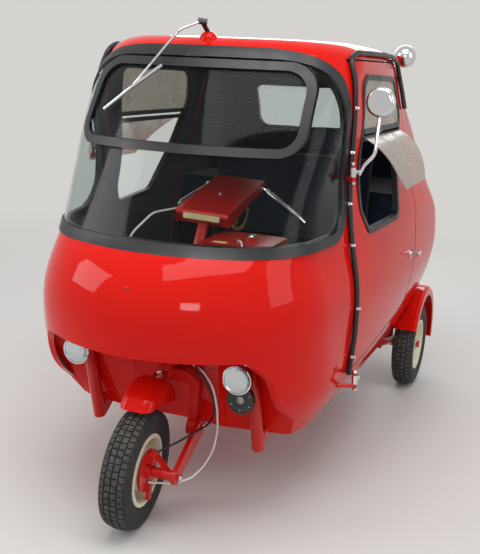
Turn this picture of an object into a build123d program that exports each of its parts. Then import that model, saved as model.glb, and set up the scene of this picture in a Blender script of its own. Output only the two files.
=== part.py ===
"""Three-wheeled bubble car with a handlebar, in millimetres.

Stations (y) are measured rearwards from the front axle while the pieces are made, and heights (z) from
the ground. The car faces -Y and its left side is +X. The last step moves every piece so that the origin
lies on the ground under the middle of the car.
"""
from build123d import *
from collections import namedtuple
from math import atan2, cos, degrees, hypot, pi, radians, sin, sqrt
import os

# Overall layout
WHEELBASE = 1683.0
FRONT_AXLE_Y = -942.0
REAR_TRACK = 1024.0
GROUND_CLEARANCE = 240.0

# Wheels and tyres, all three the same size
TYRE_RADIUS = 190.0
TYRE_HALF_WIDTH = 47.0
TREAD_HALF_WIDTH = 39.0
SHOULDER_DROP = 9.0
RIM_SEAT_RADIUS = 104.0
RIM_FLANGE_RADIUS = 114.0
RIM_HALF_WIDTH = 40.0
RIM_THICKNESS = 3.5
HUB_RADIUS = 34.0
DRUM_RADIUS = 66.0
DISC_THICKNESS = 5.0
AXLE_RADIUS = 8.0
BORE_CLEARANCE = 0.4

# Shell
SKIN = 18.0
SCREEN_THICKNESS = 5.0
RUBBER_PROUD = 7.0
PANE_RUBBER_PROUD = 9.0
PANE_RUBBER_DEPTH = 10.0
TOUCH_GAP = 0.3

# Each row is one level outline of the body: a front arc, a corner arc, a long side arc, a rear corner arc
# and a rear arc, every one tangent to the next.
Row = namedtuple("Row", "z front_y front_radius front_corner half_width widest_y side_radius "
                        "rear_corner rear_radius rear_y")
BODY_ROWS = [
    Row(GROUND_CLEARANCE, 125.0, 520.0, 380.0, 448.0, 1100.0, 9000.0, 200.0, 1500.0, 1770.0),
    Row(400.0, -10.0, 520.0, 440.0, 518.0, 1200.0, 12000.0, 250.0, 1300.0, 1870.0),
    Row(500.0, -60.0, 520.0, 470.0, 542.0, 1450.0, 13000.0, 280.0, 1200.0, 1970.0),
    Row(620.0, -80.0, 534.0, 470.0, 568.0, 1750.0, 13800.0, 320.0, 1000.0, 2055.0),
    Row(740.0, -68.0, 530.0, 450.0, 572.0, 1850.0, 12700.0, 320.0, 900.0, 2080.0),
    Row(830.0, -10.0, 650.0, 380.0, 564.0, 1750.0, 9000.0, 310.0, 900.0, 2045.0),
    Row(890.0, 62.0, 740.0, 300.0, 550.0, 1600.0, 7500.0, 300.0, 1000.0, 1975.0),
    Row(980.0, 112.0, 720.0, 230.0, 516.0, 1450.0, 7300.0, 270.0, 1300.0, 1900.0),
    Row(1060.0, 148.0, 700.0, 210.0, 492.0, 1300.0, 8000.0, 250.0, 1400.0, 1855.0),
    Row(1154.0, 200.0, 690.0, 195.0, 475.0, 1100.0, 8000.0, 230.0, 1400.0, 1800.0),
    Row(1300.0, 286.0, 690.0, 195.0, 466.0, 800.0, 6000.0, 210.0, 1400.0, 1640.0),
    Row(1400.0, 352.0, 670.0, 230.0, 460.0, 700.0, 5500.0, 200.0, 1400.0, 1500.0),
    Row(1450.0, 390.0, 650.0, 270.0, 446.0, 700.0, 5500.0, 190.0, 1400.0, 1430.0),
    Row(1480.0, 430.0, 600.0, 280.0, 416.0, 700.0, 5500.0, 170.0, 1400.0, 1370.0),
    Row(1492.0, 490.0, 560.0, 260.0, 366.0, 700.0, 5500.0, 150.0, 1400.0, 1300.0),
]

# Seams between the shell panels
ROOF_SEAM_Z = 1440.0
DOOR_FRONT_Y = 577.0
COWL_REAR_Y = 570.0
TAIL_FRONT_Y = 1480.0
TAIL_FRONT_TOP_Y = 1388.0
TAIL_LEAN_Z = 1120.0
DOOR_REAR_Y = 1300.0
DOOR_REAR_TOP_Y = 1345.0
DOOR_BOTTOM_Z = 395.0
DOOR_BOTTOM_REAR_Z = 478.0
DOOR_GAP = 5.0
DOOR_REAR_GAP = 8.0

# Steering: the axis leans back, and the car stands with the wheel turned a little to its left
STEER_POINT = (0.0, 215.0, 437.0)
STEER_DIRECTION = (0.0, 0.485, 0.8745)
STEER_REST_ANGLE = 6.0
COLUMN_RADIUS = 19.0
HEAD_TUBE_RADIUS = 28.0
HEAD_TUBE_BOTTOM = 22.0
HEAD_TUBE_TOP = 215.0
COLUMN_TOP = 545.0

# Door hinges: two pins on one slightly leaning axis
HINGE_TOP = (484.0, 530.0, 1090.0)
HINGE_BOTTOM = (543.0, 530.0, 400.0)
HINGE_PIN_RADIUS = 5.0
HINGE_EYE_RADIUS = 10.0
HINGE_EYE_HEIGHT = 30.0

# Engine lid in the tail, hinged at its top edge
LID_HALF_WIDTH = 290.0
LID_BOTTOM_Z = 490.0
LID_TOP_Z = 830.0
LID_AXIS_Y = 2062.0
LID_AXIS_Z = 842.0

ALL_NODES = {}


def keep(name, *solids):
    """Files one sub-part under its plain name."""
    ALL_NODES[name] = list(solids)


def circle_point(centre, radius, angle, z):
    return (centre[0] + radius * cos(angle), centre[1] + radius * sin(angle), z)


def crossing(centre_a, reach_a, centre_b, reach_b, rearward):
    """The front or rear point that lies reach_a from one centre and reach_b from the other."""
    apart = hypot(centre_b[0] - centre_a[0], centre_b[1] - centre_a[1])
    along = (reach_a ** 2 - reach_b ** 2 + apart ** 2) / (2 * apart)
    aside = sqrt(reach_a ** 2 - along ** 2)
    unit = ((centre_b[0] - centre_a[0]) / apart, (centre_b[1] - centre_a[1]) / apart)
    foot = (centre_a[0] + along * unit[0], centre_a[1] + along * unit[1])
    options = [(foot[0] - side * aside * unit[1], foot[1] + side * aside * unit[0]) for side in (1, -1)]
    return max(options, key=lambda p: p[1]) if rearward else min(options, key=lambda p: p[1])


def row_at(z):
    """The outline row at any height: cubic curves through the table, with the slopes of the next rows."""
    rows = BODY_ROWS
    i = max(0, min(len(rows) - 2, sum(r.z <= z for r in rows) - 1))
    low, high = rows[i], rows[i + 1]
    before, after = rows[max(i - 1, 0)], rows[min(i + 2, len(rows) - 1)]
    span = high.z - low.z
    t = (z - low.z) / span
    values = [z]
    for p0, p1, p2, p3 in list(zip(before, low, high, after))[1:]:
        slope_low = (p2 - p0) / (high.z - before.z) * span
        slope_high = (p3 - p1) / (after.z - low.z) * span
        values.append((2 * t ** 3 - 3 * t ** 2 + 1) * p1 + (t ** 3 - 2 * t ** 2 + t) * slope_low
                      + (3 * t ** 2 - 2 * t ** 3) * p2 + (t ** 3 - t ** 2) * slope_high)
    return Row(*values)


def outline_arcs(row, inset):
    """The left-hand arcs of one level outline as (centre, radius, start angle, end angle)."""
    front = (0.0, row.front_y + row.front_radius)
    side = (row.half_width - row.side_radius, row.widest_y)
    rear = (0.0, row.rear_y - row.rear_radius)
    nose = crossing(front, row.front_radius - row.front_corner, side, row.side_radius - row.front_corner, False)
    tail = crossing(rear, row.rear_radius - row.rear_corner, side, row.side_radius - row.rear_corner, True)
    nose_turn = atan2(nose[1] - front[1], nose[0] - front[0])
    side_start = atan2(nose[1] - side[1], nose[0] - side[0])
    side_end = atan2(tail[1] - side[1], tail[0] - side[0])
    tail_turn = atan2(tail[1] - rear[1], tail[0] - rear[0])
    return [
        (front, row.front_radius - inset, -pi / 2, nose_turn),
        (nose, row.front_corner - inset, nose_turn, side_start),
        (side, row.side_radius - inset, side_start, side_end),
        (tail, row.rear_corner - inset, side_end, tail_turn),
        (rear, row.rear_radius - inset, tail_turn, pi / 2),
    ]


def chain(row, inset, z, rearward):
    """The points of the open line from the right side round the nose, or round the tail, to the left side.

    It comes back as (start, middle, end) triples, one for each arc.
    """
    arcs = outline_arcs(row, inset)
    centre_arc = arcs[4] if rearward else arcs[0]
    rest = arcs[3:1:-1] if rearward else arcs[1:3]
    centre, radius, start, end = centre_arc
    tip = circle_point(centre, radius, start if rearward else end, z)
    middle = circle_point(centre, radius, pi / 2 if rearward else -pi / 2, z)
    left = []
    for centre, radius, start, end in rest:
        ends = (end, start) if rearward else (start, end)
        left.append(tuple(circle_point(centre, radius, a, z) for a in (ends[0], (start + end) / 2, ends[1])))
    flip = lambda p: (-p[0], p[1], p[2])
    right = [tuple(flip(p) for p in reversed(piece)) for piece in reversed(left)]
    return right + [(flip(tip), middle, tip)] + left


def strip_wire(z, front_inset, back_inset, rearward):
    """A level section through the wall: its outer line, its inner line and the two ends."""
    row = row_at(z)
    outside = chain(row, front_inset, z, rearward)
    inside = [tuple(reversed(piece)) for piece in reversed(chain(row, back_inset, z, rearward))]
    edges = [Edge.make_three_point_arc(*piece) for piece in outside]
    edges.append(Edge.make_line(outside[-1][2], inside[0][0]))
    edges += [Edge.make_three_point_arc(*piece) for piece in inside]
    edges.append(Edge.make_line(inside[-1][2], outside[0][0]))
    return Wire(edges)


def wall(heights, front_inset, back_inset, rearward=False):
    """The wall of the body between two insets, open at the tail or, if rearward, at the nose."""
    return Solid.make_loft([strip_wire(z, front_inset, back_inset, rearward) for z in heights])


def side_strip(z, front_inset, back_inset):
    """A level section through the left side alone, from the nose arc to the rear arc."""
    row = row_at(z)
    lines = []
    for inset in (front_inset, back_inset):
        lines.append([tuple(circle_point(centre, radius, a, z) for a in (start, (start + end) / 2, end))
                      for centre, radius, start, end in outline_arcs(row, inset)[1:4]])
    outside, inside = lines[0], [tuple(reversed(piece)) for piece in reversed(lines[1])]
    edges = [Edge.make_three_point_arc(*piece) for piece in outside]
    edges.append(Edge.make_line(outside[-1][2], inside[0][0]))
    edges += [Edge.make_three_point_arc(*piece) for piece in inside]
    edges.append(Edge.make_line(inside[-1][2], outside[0][0]))
    return Wire(edges)


def side_wall(heights, front_inset, back_inset):
    """The wall of the left side between two insets."""
    return Solid.make_loft([side_strip(z, front_inset, back_inset) for z in heights])


def ring_wire(row, inset, z):
    """One closed level outline."""
    front, rear = chain(row, inset, z, False), chain(row, inset, z, True)
    pieces = front + [tuple(reversed(piece)) for piece in reversed(rear[1:-1])]
    return Wire([Edge.make_three_point_arc(*piece) for piece in pieces])


def side_prism(points, radii, x_from, x_to):
    """A prism along X whose side view is a polygon of (y, z) points with rounded corners."""
    face = rounded_face(points, radii)
    plane = Plane(origin=(x_from, 0, 0), x_dir=(0, 1, 0), z_dir=(1, 0, 0))
    return extrude(plane * face, amount=x_to - x_from).solid()


def front_prism(points, radii, y_from, y_to):
    """A prism along Y whose front view is a polygon of (x, z) points with rounded corners."""
    face = rounded_face(points, radii)
    plane = Plane(origin=(0, y_to, 0), x_dir=(1, 0, 0), z_dir=(0, -1, 0))
    return extrude(plane * face, amount=y_to - y_from).solid()


def rounded_face(points, radii):
    """A flat face from a polygon, each corner rounded by its own radius."""
    turn = sum(a[0] * b[1] - b[0] * a[1] for a, b in zip(points, points[1:] + points[:1]))
    if turn < 0:
        points, radii = points[::-1], radii[::-1]
    face = Face(Wire.make_polygon([(u, v, 0) for u, v in points], close=True))
    for (u, v), radius in zip(points, radii):
        if radius:
            corner = min(face.vertices(), key=lambda w: hypot(w.X - u, w.Y - v))
            face = face.fillet_2d(radius, [corner])
    return face


def box_between(low, high):
    size = [b - a for a, b in zip(low, high)]
    return Solid.make_box(*size).moved(Location(low))


def rod(start, end, radius):
    """A round bar from one point to the other."""
    start, end = Vector(start), Vector(end)
    return Solid.make_cylinder(radius, (end - start).length, Plane(origin=start, z_dir=end - start))


def tube(start, end, radius, bore):
    return rod(start, end, radius).cut(rod(start, end, bore)).solid()


def bent_tube(points, radii, radius):
    """A round bar along straight runs joined by arcs."""
    path = FilletPolyline(*points, radius=radii) if len(points) > 2 else Line(*points)
    start = path.edges()[0]
    profile = Plane(origin=start @ 0, z_dir=start % 0) * Circle(radius)
    return sweep(profile, path=path).solid()


def soft_tube(points, radius, largest):
    """A round bar whose arcs fill most of every bend, none rounder than the largest radius."""
    radii = []
    for a, b, c in zip(points, points[1:], points[2:]):
        first, second = Vector(*b) - Vector(*a), Vector(*c) - Vector(*b)
        turn = radians(first.get_angle(second))
        radii.append(min(largest, 0.42 * min(first.length, second.length) * cos(turn / 2) / sin(turn / 2)))
    made = bent_tube(points, radii, radius)
    print("arc radii", [round(r) for r in radii])
    return made


def mirrored(solid):
    return solid.mirror(Plane.YZ)


def revolve_about_x(points, centre=(0.0, 0.0, 0.0), angle=360.0):
    """A ring about the X direction from a profile of (x, radius) points, through a centre."""
    wire = Wire.make_polygon([(x, 0, r) for x, r in points], close=True)
    ring = Solid.revolve(Face(wire), angle, Axis((0, 0, 0), (1, 0, 0)))
    return ring.moved(Location(centre))


def wheel_tyre(centre):
    """A block-tread tyre's plain ring, bulging over the rim's flanges."""
    shoulder = TYRE_RADIUS - SHOULDER_DROP
    bead = RIM_HALF_WIDTH - RIM_THICKNESS
    lines = [
        Edge.make_line((-bead, 0, RIM_SEAT_RADIUS), (bead, 0, RIM_SEAT_RADIUS)),
        Edge.make_line((bead, 0, RIM_SEAT_RADIUS), (bead, 0, RIM_FLANGE_RADIUS + 1)),
        Edge.make_three_point_arc((bead, 0, RIM_FLANGE_RADIUS + 1),
                                  (TYRE_HALF_WIDTH, 0, (RIM_FLANGE_RADIUS + shoulder) / 2),
                                  (TREAD_HALF_WIDTH, 0, shoulder)),
        Edge.make_three_point_arc((TREAD_HALF_WIDTH, 0, shoulder), (0, 0, TYRE_RADIUS),
                                  (-TREAD_HALF_WIDTH, 0, shoulder)),
        Edge.make_three_point_arc((-TREAD_HALF_WIDTH, 0, shoulder),
                                  (-TYRE_HALF_WIDTH, 0, (RIM_FLANGE_RADIUS + shoulder) / 2),
                                  (-bead, 0, RIM_FLANGE_RADIUS + 1)),
        Edge.make_line((-bead, 0, RIM_FLANGE_RADIUS + 1), (-bead, 0, RIM_SEAT_RADIUS)),
    ]
    ring = Solid.revolve(Face(Wire(lines)), 360, Axis((0, 0, 0), (1, 0, 0)))
    return ring.moved(Location(centre))


def wheel_rim(centre, disc_x, hub_from, hub_to, drum=None):
    """A pressed rim with its disc, hub and, where it has one, its brake drum, bored for the axle."""
    seat, flange, half = RIM_SEAT_RADIUS, RIM_FLANGE_RADIUS, RIM_HALF_WIDTH
    t = RIM_THICKNESS
    band = revolve_about_x([(-half, seat - t), (half, seat - t), (half, flange), (half - t, flange),
                            (half - t, seat), (t - half, seat), (t - half, flange), (-half, flange)])
    disc = revolve_about_x([(disc_x, HUB_RADIUS - 2), (disc_x + DISC_THICKNESS, HUB_RADIUS - 2),
                            (disc_x + DISC_THICKNESS, seat - t / 2), (disc_x, seat - t / 2)])
    hub = rod((hub_from, 0, 0), (hub_to, 0, 0), HUB_RADIUS)
    wheel = band.fuse(disc).fuse(hub)
    if drum:
        wheel = wheel.fuse(rod((drum[0], 0, 0), (drum[1], 0, 0), DRUM_RADIUS))
    wheel = wheel.cut(rod((hub_from - 60, 0, 0), (hub_to + 60, 0, 0), AXLE_RADIUS + BORE_CLEARANCE))
    return wheel.solid().moved(Location(centre))


def steered(solid):
    """Turns a piece of the front fork to the angle at which the car stands."""
    return solid.rotate(Axis(STEER_POINT, STEER_DIRECTION), STEER_REST_ANGLE)


def on_steer_axis(along):
    """The point of the steering axis that lies this far above its lower bearing."""
    return tuple(p + along * d for p, d in zip(STEER_POINT, STEER_DIRECTION))


# Heights of the sections that the walls are lofted through
WALL_HEIGHTS = [GROUND_CLEARANCE, 320.0, 400.0, 500.0, 620.0, 740.0, 830.0, 890.0, 980.0, 1154.0, 1300.0, 1400.0, 1440.0]
SCREEN_HEIGHTS = [830.0, 890.0, 980.0, 1154.0, 1300.0, 1400.0, 1450.0, 1475.0]
ROOF_HEIGHTS = [1440.0, 1465.0, 1482.0, 1492.0]
ROOF_INNER_DROP = 16.0

front_wall = wall(WALL_HEIGHTS, 0.0, SKIN)
left_wall = side_wall(WALL_HEIGHTS, 0.0, SKIN)
rear_wall = wall(WALL_HEIGHTS, 0.0, SKIN, True)
roof_outer = Solid.make_loft([ring_wire(row_at(z), 0.0, z) for z in ROOF_HEIGHTS])
roof_inner = Solid.make_loft([ring_wire(row_at(z), SKIN, z - ROOF_INNER_DROP) for z in ROOF_HEIGHTS])
roof_shell = roof_outer.cut(roof_inner)

REACH = 700.0
SCREEN_EDGE = [(-400.0, 850.0), (552.0, 872.0), (545.0, 1150.0), (500.0, 1462.0), (-400.0, 1468.0)]
SCREEN_RADII = [0, 130, 300, 95, 0]
RUBBER_INNER_EDGE = [(-400.0, 880.0), (518.0, 902.0), (512.0, 1150.0), (470.0, 1428.0), (-400.0, 1434.0)]
RUBBER_INNER_RADII = [0, 105, 300, 70, 0]
screen_cut = side_prism(SCREEN_EDGE, SCREEN_RADII, -REACH, REACH)
rubber_inner_cut = side_prism(RUBBER_INNER_EDGE, RUBBER_INNER_RADII, -REACH, REACH)

PANE_EDGE = [(-388.0, 1142.0), (388.0, 1142.0), (380.0, 1422.0), (-380.0, 1422.0)]
PANE_RADII = [70, 70, 95, 95]
PANE_GLASS_EDGE = [(-362.0, 1168.0), (362.0, 1168.0), (354.0, 1396.0), (-354.0, 1396.0)]
PANE_GLASS_RADII = [48, 48, 72, 72]
pane_cut = front_prism(PANE_EDGE, PANE_RADII, -300, 700)
pane_glass_cut = front_prism(PANE_GLASS_EDGE, PANE_GLASS_RADII, -300, 700)

# The open space under the nose, in side view
UNDER_NOSE = [(-400.0, 100.0), (-400.0, 570.0), (40.0, 570.0), (68.0, 556.0), (120.0, 504.0),
              (160.0, 431.0), (200.0, 384.0), (286.0, 322.0), (350.0, 236.0), (350.0, 100.0)]
UNDER_NOSE_RADII = [0, 0, 40, 60, 80, 100, 100, 60, 0, 0]
under_nose = side_prism(UNDER_NOSE, UNDER_NOSE_RADII, -REACH, REACH)

DOOR_EDGE = [(DOOR_FRONT_Y, DOOR_BOTTOM_Z), (DOOR_REAR_Y, DOOR_BOTTOM_REAR_Z),
             (DOOR_REAR_TOP_Y, ROOF_SEAM_Z - DOOR_GAP), (DOOR_FRONT_Y, ROOF_SEAM_Z - DOOR_GAP)]
DOOR_RADII = [60, 60, 120, 45]
# The opening's corners run past the roof seam, so that no edge of the flank thins to nothing there
APERTURE_TOP_Z = ROOF_SEAM_Z + 4.0
APERTURE_EDGE = [(COWL_REAR_Y, DOOR_BOTTOM_Z - DOOR_GAP - 1),
                 (DOOR_REAR_Y + DOOR_REAR_GAP, DOOR_BOTTOM_REAR_Z - DOOR_GAP - 1),
                 (DOOR_REAR_TOP_Y + DOOR_REAR_GAP, APERTURE_TOP_Z), (COWL_REAR_Y, APERTURE_TOP_Z)]
APERTURE_RADII = [64, 64, 124, 48]
door_cut = side_prism(DOOR_EDGE, DOOR_RADII, 0, REACH)
aperture_cut = side_prism(APERTURE_EDGE, APERTURE_RADII, -REACH, REACH)

WINDOW_EDGE = [(668.0, 1396.0), (1225.0, 1386.0), (1275.0, 1255.0), (1060.0, 870.0), (730.0, 858.0),
               (668.0, 940.0)]
WINDOW_RADII = [55, 75, 90, 70, 50, 60]
WINDOW_GLASS_EDGE = [(686.0, 1378.0), (1212.0, 1369.0), (1255.0, 1253.0), (1050.0, 887.0), (738.0, 876.0),
                     (686.0, 946.0)]
WINDOW_GLASS_RADII = [38, 58, 74, 56, 36, 46]
window_cut = side_prism(WINDOW_EDGE, WINDOW_RADII, 0, REACH)
window_glass_cut = side_prism(WINDOW_GLASS_EDGE, WINDOW_GLASS_RADII, 0, REACH)

REAR_WINDOW_EDGE = [(-345.0, 1110.0), (345.0, 1110.0), (290.0, 1345.0), (-290.0, 1345.0)]
REAR_WINDOW_RADII = [60, 60, 60, 60]
REAR_GLASS_EDGE = [(-315.0, 1134.0), (315.0, 1134.0), (268.0, 1321.0), (-268.0, 1321.0)]
REAR_GLASS_RADII = [40, 40, 40, 40]
rear_window_cut = front_prism(REAR_WINDOW_EDGE, REAR_WINDOW_RADII, 1300, 2300)
rear_glass_cut = front_prism(REAR_GLASS_EDGE, REAR_GLASS_RADII, 1300, 2300)

LID_RADII = [50, 50, 50, 50]
lid_edge = [(-LID_HALF_WIDTH, LID_BOTTOM_Z), (LID_HALF_WIDTH, LID_BOTTOM_Z), (LID_HALF_WIDTH, LID_TOP_Z),
            (-LID_HALF_WIDTH, LID_TOP_Z)]
lid_hole_edge = [(u + DOOR_GAP * (1 if u > 0 else -1), v + DOOR_GAP * (1 if v > 600 else -1))
                 for u, v in lid_edge]
lid_cut = front_prism(lid_edge, LID_RADII, 1700, 2300)
lid_hole_cut = front_prism(lid_hole_edge, [r + DOOR_GAP for r in LID_RADII], 1700, 2300)

# The lower edge of the mouldings rises towards the tail
BOTTOM_LINE = [(-500.0, GROUND_CLEARANCE), (300.0, GROUND_CLEARANCE), (1560.0, 439.0), (2300.0, 478.0)]
bottom_cut = side_prism(BOTTOM_LINE + [(2300.0, 100.0), (-500.0, 100.0)], [0] * 6, -REACH, REACH)
FLOOR_THICKNESS = 12.0

cowl_zone = box_between((-900, -500, 200), (900, COWL_REAR_Y, ROOF_SEAM_Z))
TAIL_SEAM = [(TAIL_FRONT_Y, 200.0), (TAIL_FRONT_Y, TAIL_LEAN_Z), (TAIL_FRONT_TOP_Y, ROOF_SEAM_Z)]
flank_zone = side_prism([(COWL_REAR_Y, 200.0)] + TAIL_SEAM + [(COWL_REAR_Y, ROOF_SEAM_Z)], [0] * 5, 0, REACH)
tail_zone = side_prism(TAIL_SEAM[::-1] + [(2400.0, 200.0), (2400.0, ROOF_SEAM_Z)], [0] * 5, -REACH, REACH)


def biggest(shape):
    return max(shape.solids(), key=lambda s: s.volume)


def surface_x(y, z, outset=0.0):
    """How far the left side stands out from the middle at this station and height."""
    for centre, radius, start, end in outline_arcs(row_at(z), -outset):
        reach = radius ** 2 - (y - centre[1]) ** 2
        if reach < 0:
            continue
        x = centre[0] + sqrt(reach)
        angle = atan2(y - centre[1], x - centre[0])
        if min(start, end) - 1e-9 <= angle <= max(start, end) + 1e-9:
            return x
    raise ValueError("no surface there")


def surface_y(x, z, rearward, outset=0.0):
    """The station of the nose, or of the tail, at this distance from the middle and height."""
    for centre, radius, start, end in outline_arcs(row_at(z), -outset):
        reach = radius ** 2 - (x - centre[0]) ** 2
        if reach < 0:
            continue
        y = centre[1] + sqrt(reach) * (1 if rearward else -1)
        angle = atan2(y - centre[1], x - centre[0])
        if min(start, end) - 1e-9 <= angle <= max(start, end) + 1e-9:
            return y
    raise ValueError("no surface there")


def form_solid(heights, inset):
    """The closed body form between two heights."""
    return Solid.make_loft([ring_wire(row_at(z), inset, z) for z in heights])


WHEEL_SIDES = (("left", 1), ("right", -1))
REAR_WHEEL_X = REAR_TRACK / 2
GUARD_CENTRE = (REAR_WHEEL_X, 1722.0, 212.0)
GUARD_RADIUS = 243.0
GUARD_HALF_WIDTH = 56.0
GUARD_SHEET = 3.0
GUARD_LIP = 42.0
GUARD_START = -14.0
GUARD_SWEEP = 172.0


def rear_guard():
    """A cycle-type guard: a flat-topped channel swept round the wheel, open towards it."""
    r, w, t = GUARD_RADIUS, GUARD_HALF_WIDTH, GUARD_SHEET
    bevel = 12.0
    wire = Wire.make_polygon([(-w, r - GUARD_LIP, 0), (-w, r - bevel, 0), (bevel - w, r, 0), (w - bevel, r, 0),
                              (w, r - bevel, 0), (w, r - GUARD_LIP, 0), (w - t, r - GUARD_LIP, 0),
                              (w - t, r - bevel - 1, 0), (w - bevel - 1, r - t, 0), (bevel + 1 - w, r - t, 0),
                              (t - w, r - bevel - 1, 0), (t - w, r - GUARD_LIP, 0)], close=True)
    ring = Solid.revolve(Face(wire), GUARD_SWEEP, Axis((0, 0, 0), (1, 0, 0)))
    return ring.rotate(Axis((0, 0, 0), (1, 0, 0)), GUARD_START).moved(Location(GUARD_CENTRE))


guard_envelope = rod((GUARD_CENTRE[0] - GUARD_HALF_WIDTH - TOUCH_GAP, GUARD_CENTRE[1], GUARD_CENTRE[2]),
                     (GUARD_CENTRE[0] + GUARD_HALF_WIDTH + 60, GUARD_CENTRE[1], GUARD_CENTRE[2]),
                     GUARD_RADIUS + TOUCH_GAP)


def shell_panels():
    """The red mouldings: nose cowl, roof, two flanks, tail and engine lid."""
    cowl = biggest(cowl_zone & front_wall)
    keep("nose_cowl", biggest(cowl.cut(screen_cut, under_nose, bottom_cut)))
    keep("roof_panel", biggest(roof_shell.cut(screen_cut)))
    side = biggest(flank_zone & left_wall)
    keep("flank_left", biggest(side.cut(aperture_cut, bottom_cut)))
    keep("flank_right", mirrored(ALL_NODES["flank_left"][0]))
    tail = biggest(tail_zone & rear_wall)
    tools = (rear_window_cut, lid_hole_cut, bottom_cut, guard_envelope, mirrored(guard_envelope))
    keep("tail_panel", biggest(tail.cut(*tools)))
    keep("engine_lid", biggest(tail & lid_cut))


def screen():
    """The bowed screen in its black rubber, with a framed flat-glass pane let into its upper half."""
    sheet = wall(SCREEN_HEIGHTS, 0.0, SCREEN_THICKNESS)
    keep("windscreen", biggest(biggest(sheet & rubber_inner_cut).cut(pane_cut)))
    rubber = biggest(wall(SCREEN_HEIGHTS, -RUBBER_PROUD, SKIN) & screen_cut)
    keep("windscreen_seal", biggest(rubber.cut(rubber_inner_cut)))
    frame = biggest(wall(SCREEN_HEIGHTS, -PANE_RUBBER_PROUD, PANE_RUBBER_DEPTH) & pane_cut)
    keep("screen_pane_seal", biggest(frame.cut(pane_glass_cut, ALL_NODES["windscreen_seal"][0])))
    keep("screen_pane", biggest(sheet & pane_glass_cut))


LID_HINGE_XS = (-190.0, 190.0)
LID_PIN_RADIUS = 5.0
LID_EYE_RADIUS = 9.0


def lid_hinges():
    """Pins on feet above the lid, and the lid's own knuckles on them."""
    pins, knuckles = [], []
    for x in LID_HINGE_XS:
        pin = rod((x - 30, LID_AXIS_Y, LID_AXIS_Z), (x + 30, LID_AXIS_Y, LID_AXIS_Z), LID_PIN_RADIUS)
        for low in (x - 30, x + 22):
            pin = pin.fuse(box_between((low, 1985, 838), (low + 8, LID_AXIS_Y + 5, 858)))
        pins.append(biggest(pin.cut(tail_touch)))
        eye = rod((x - 18, LID_AXIS_Y, LID_AXIS_Z), (x + 18, LID_AXIS_Y, LID_AXIS_Z), LID_EYE_RADIUS)
        eye = eye.fuse(box_between((x - 18, 2020, 806), (x + 18, LID_AXIS_Y + 6, 838)))
        knuckles.append(biggest(eye.cut(tail_touch, rod((x - 40, LID_AXIS_Y, LID_AXIS_Z),
                                                        (x + 40, LID_AXIS_Y, LID_AXIS_Z), LID_PIN_RADIUS + 0.3))))
    keep("lid_hinges", *pins)
    keep("engine_lid", ALL_NODES["engine_lid"][0], *knuckles)


def rear_window():
    heights = [980.0, 1154.0, 1300.0, 1400.0, 1440.0]
    rubber = wall(heights, -RUBBER_PROUD, SKIN, True)
    keep("rear_window_seal", biggest((rubber & rear_window_cut).solid().cut(rear_glass_cut)))
    keep("rear_window", biggest(wall(heights, 0.0, SCREEN_THICKNESS, True) & rear_glass_cut))


BAR_LOW_Z = (1176.0, 1192.0)
BAR_HIGH_Z = (1200.0, 1216.0)
BAR_PROUD = 6.0
FLAP_THICKNESS = 4.0
FLAP_TOP = (474.0, 1186.0)
FLAP_MIDDLE = (556.0, 1126.0)
FLAP_BOTTOM = (613.0, 1022.0)
FLAP_EDGE = [(690.0, 1220.0), (1238.0, 1220.0), (1225.0, 1150.0), (1080.0, 1016.0), (762.0, 1010.0),
             (695.0, 1060.0)]
FLAP_RADII = [0, 0, 80, 60, 40, 30]


def flap():
    """The lower window sheet, hung from the bar and held open, bowed outwards."""
    def point(place, aside):
        return (place[0] + aside, place[1], 0)
    t = FLAP_THICKNESS
    edges = [
        Edge.make_three_point_arc(point(FLAP_TOP, 0), point(FLAP_MIDDLE, 0), point(FLAP_BOTTOM, 0)),
        Edge.make_line(point(FLAP_BOTTOM, 0), point(FLAP_BOTTOM, t)),
        Edge.make_three_point_arc(point(FLAP_BOTTOM, t), point(FLAP_MIDDLE, t), point(FLAP_TOP, t)),
        Edge.make_line(point(FLAP_TOP, t), point(FLAP_TOP, 0)),
    ]
    plane = Plane(origin=(0, 1300, 0), x_dir=(1, 0, 0), z_dir=(0, -1, 0))
    sheet = extrude(plane * Face(Wire(edges)), amount=700).solid()
    return biggest(sheet & side_prism(FLAP_EDGE, FLAP_RADII, 300, REACH))


HINGES = (HINGE_TOP, HINGE_BOTTOM)
SEAL_RADIUS = 9.0
SEAL_OUT = 11.0
SEAL_FRONT_Y = 558.0
HINGE_FOOT = 34.0
HINGE_ARM_RADIUS = 7.0
HINGE_ROOT_YS = (561.0, 500.0)
HANDLE_PLACE = (1228.0, 706.0)


def hinge_fixed(pin, root_y):
    """A pin on an arm that stands out from the body."""
    lean = Vector(*[a - b for a, b in zip(HINGE_TOP, HINGE_BOTTOM)]).normalized()
    centre = Vector(*pin)
    low = centre - lean * (HINGE_EYE_HEIGHT / 2 + 16)
    high = centre + lean * (HINGE_EYE_HEIGHT / 2 + 8)
    bar_low = centre - lean * (HINGE_EYE_HEIGHT / 2 + 8)
    root = (surface_x(root_y, pin[2] - 23) - 14, root_y, pin[2] - 23)
    return biggest(rod(low, high, HINGE_PIN_RADIUS).fuse(rod(root, bar_low, HINGE_ARM_RADIUS)))


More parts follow.
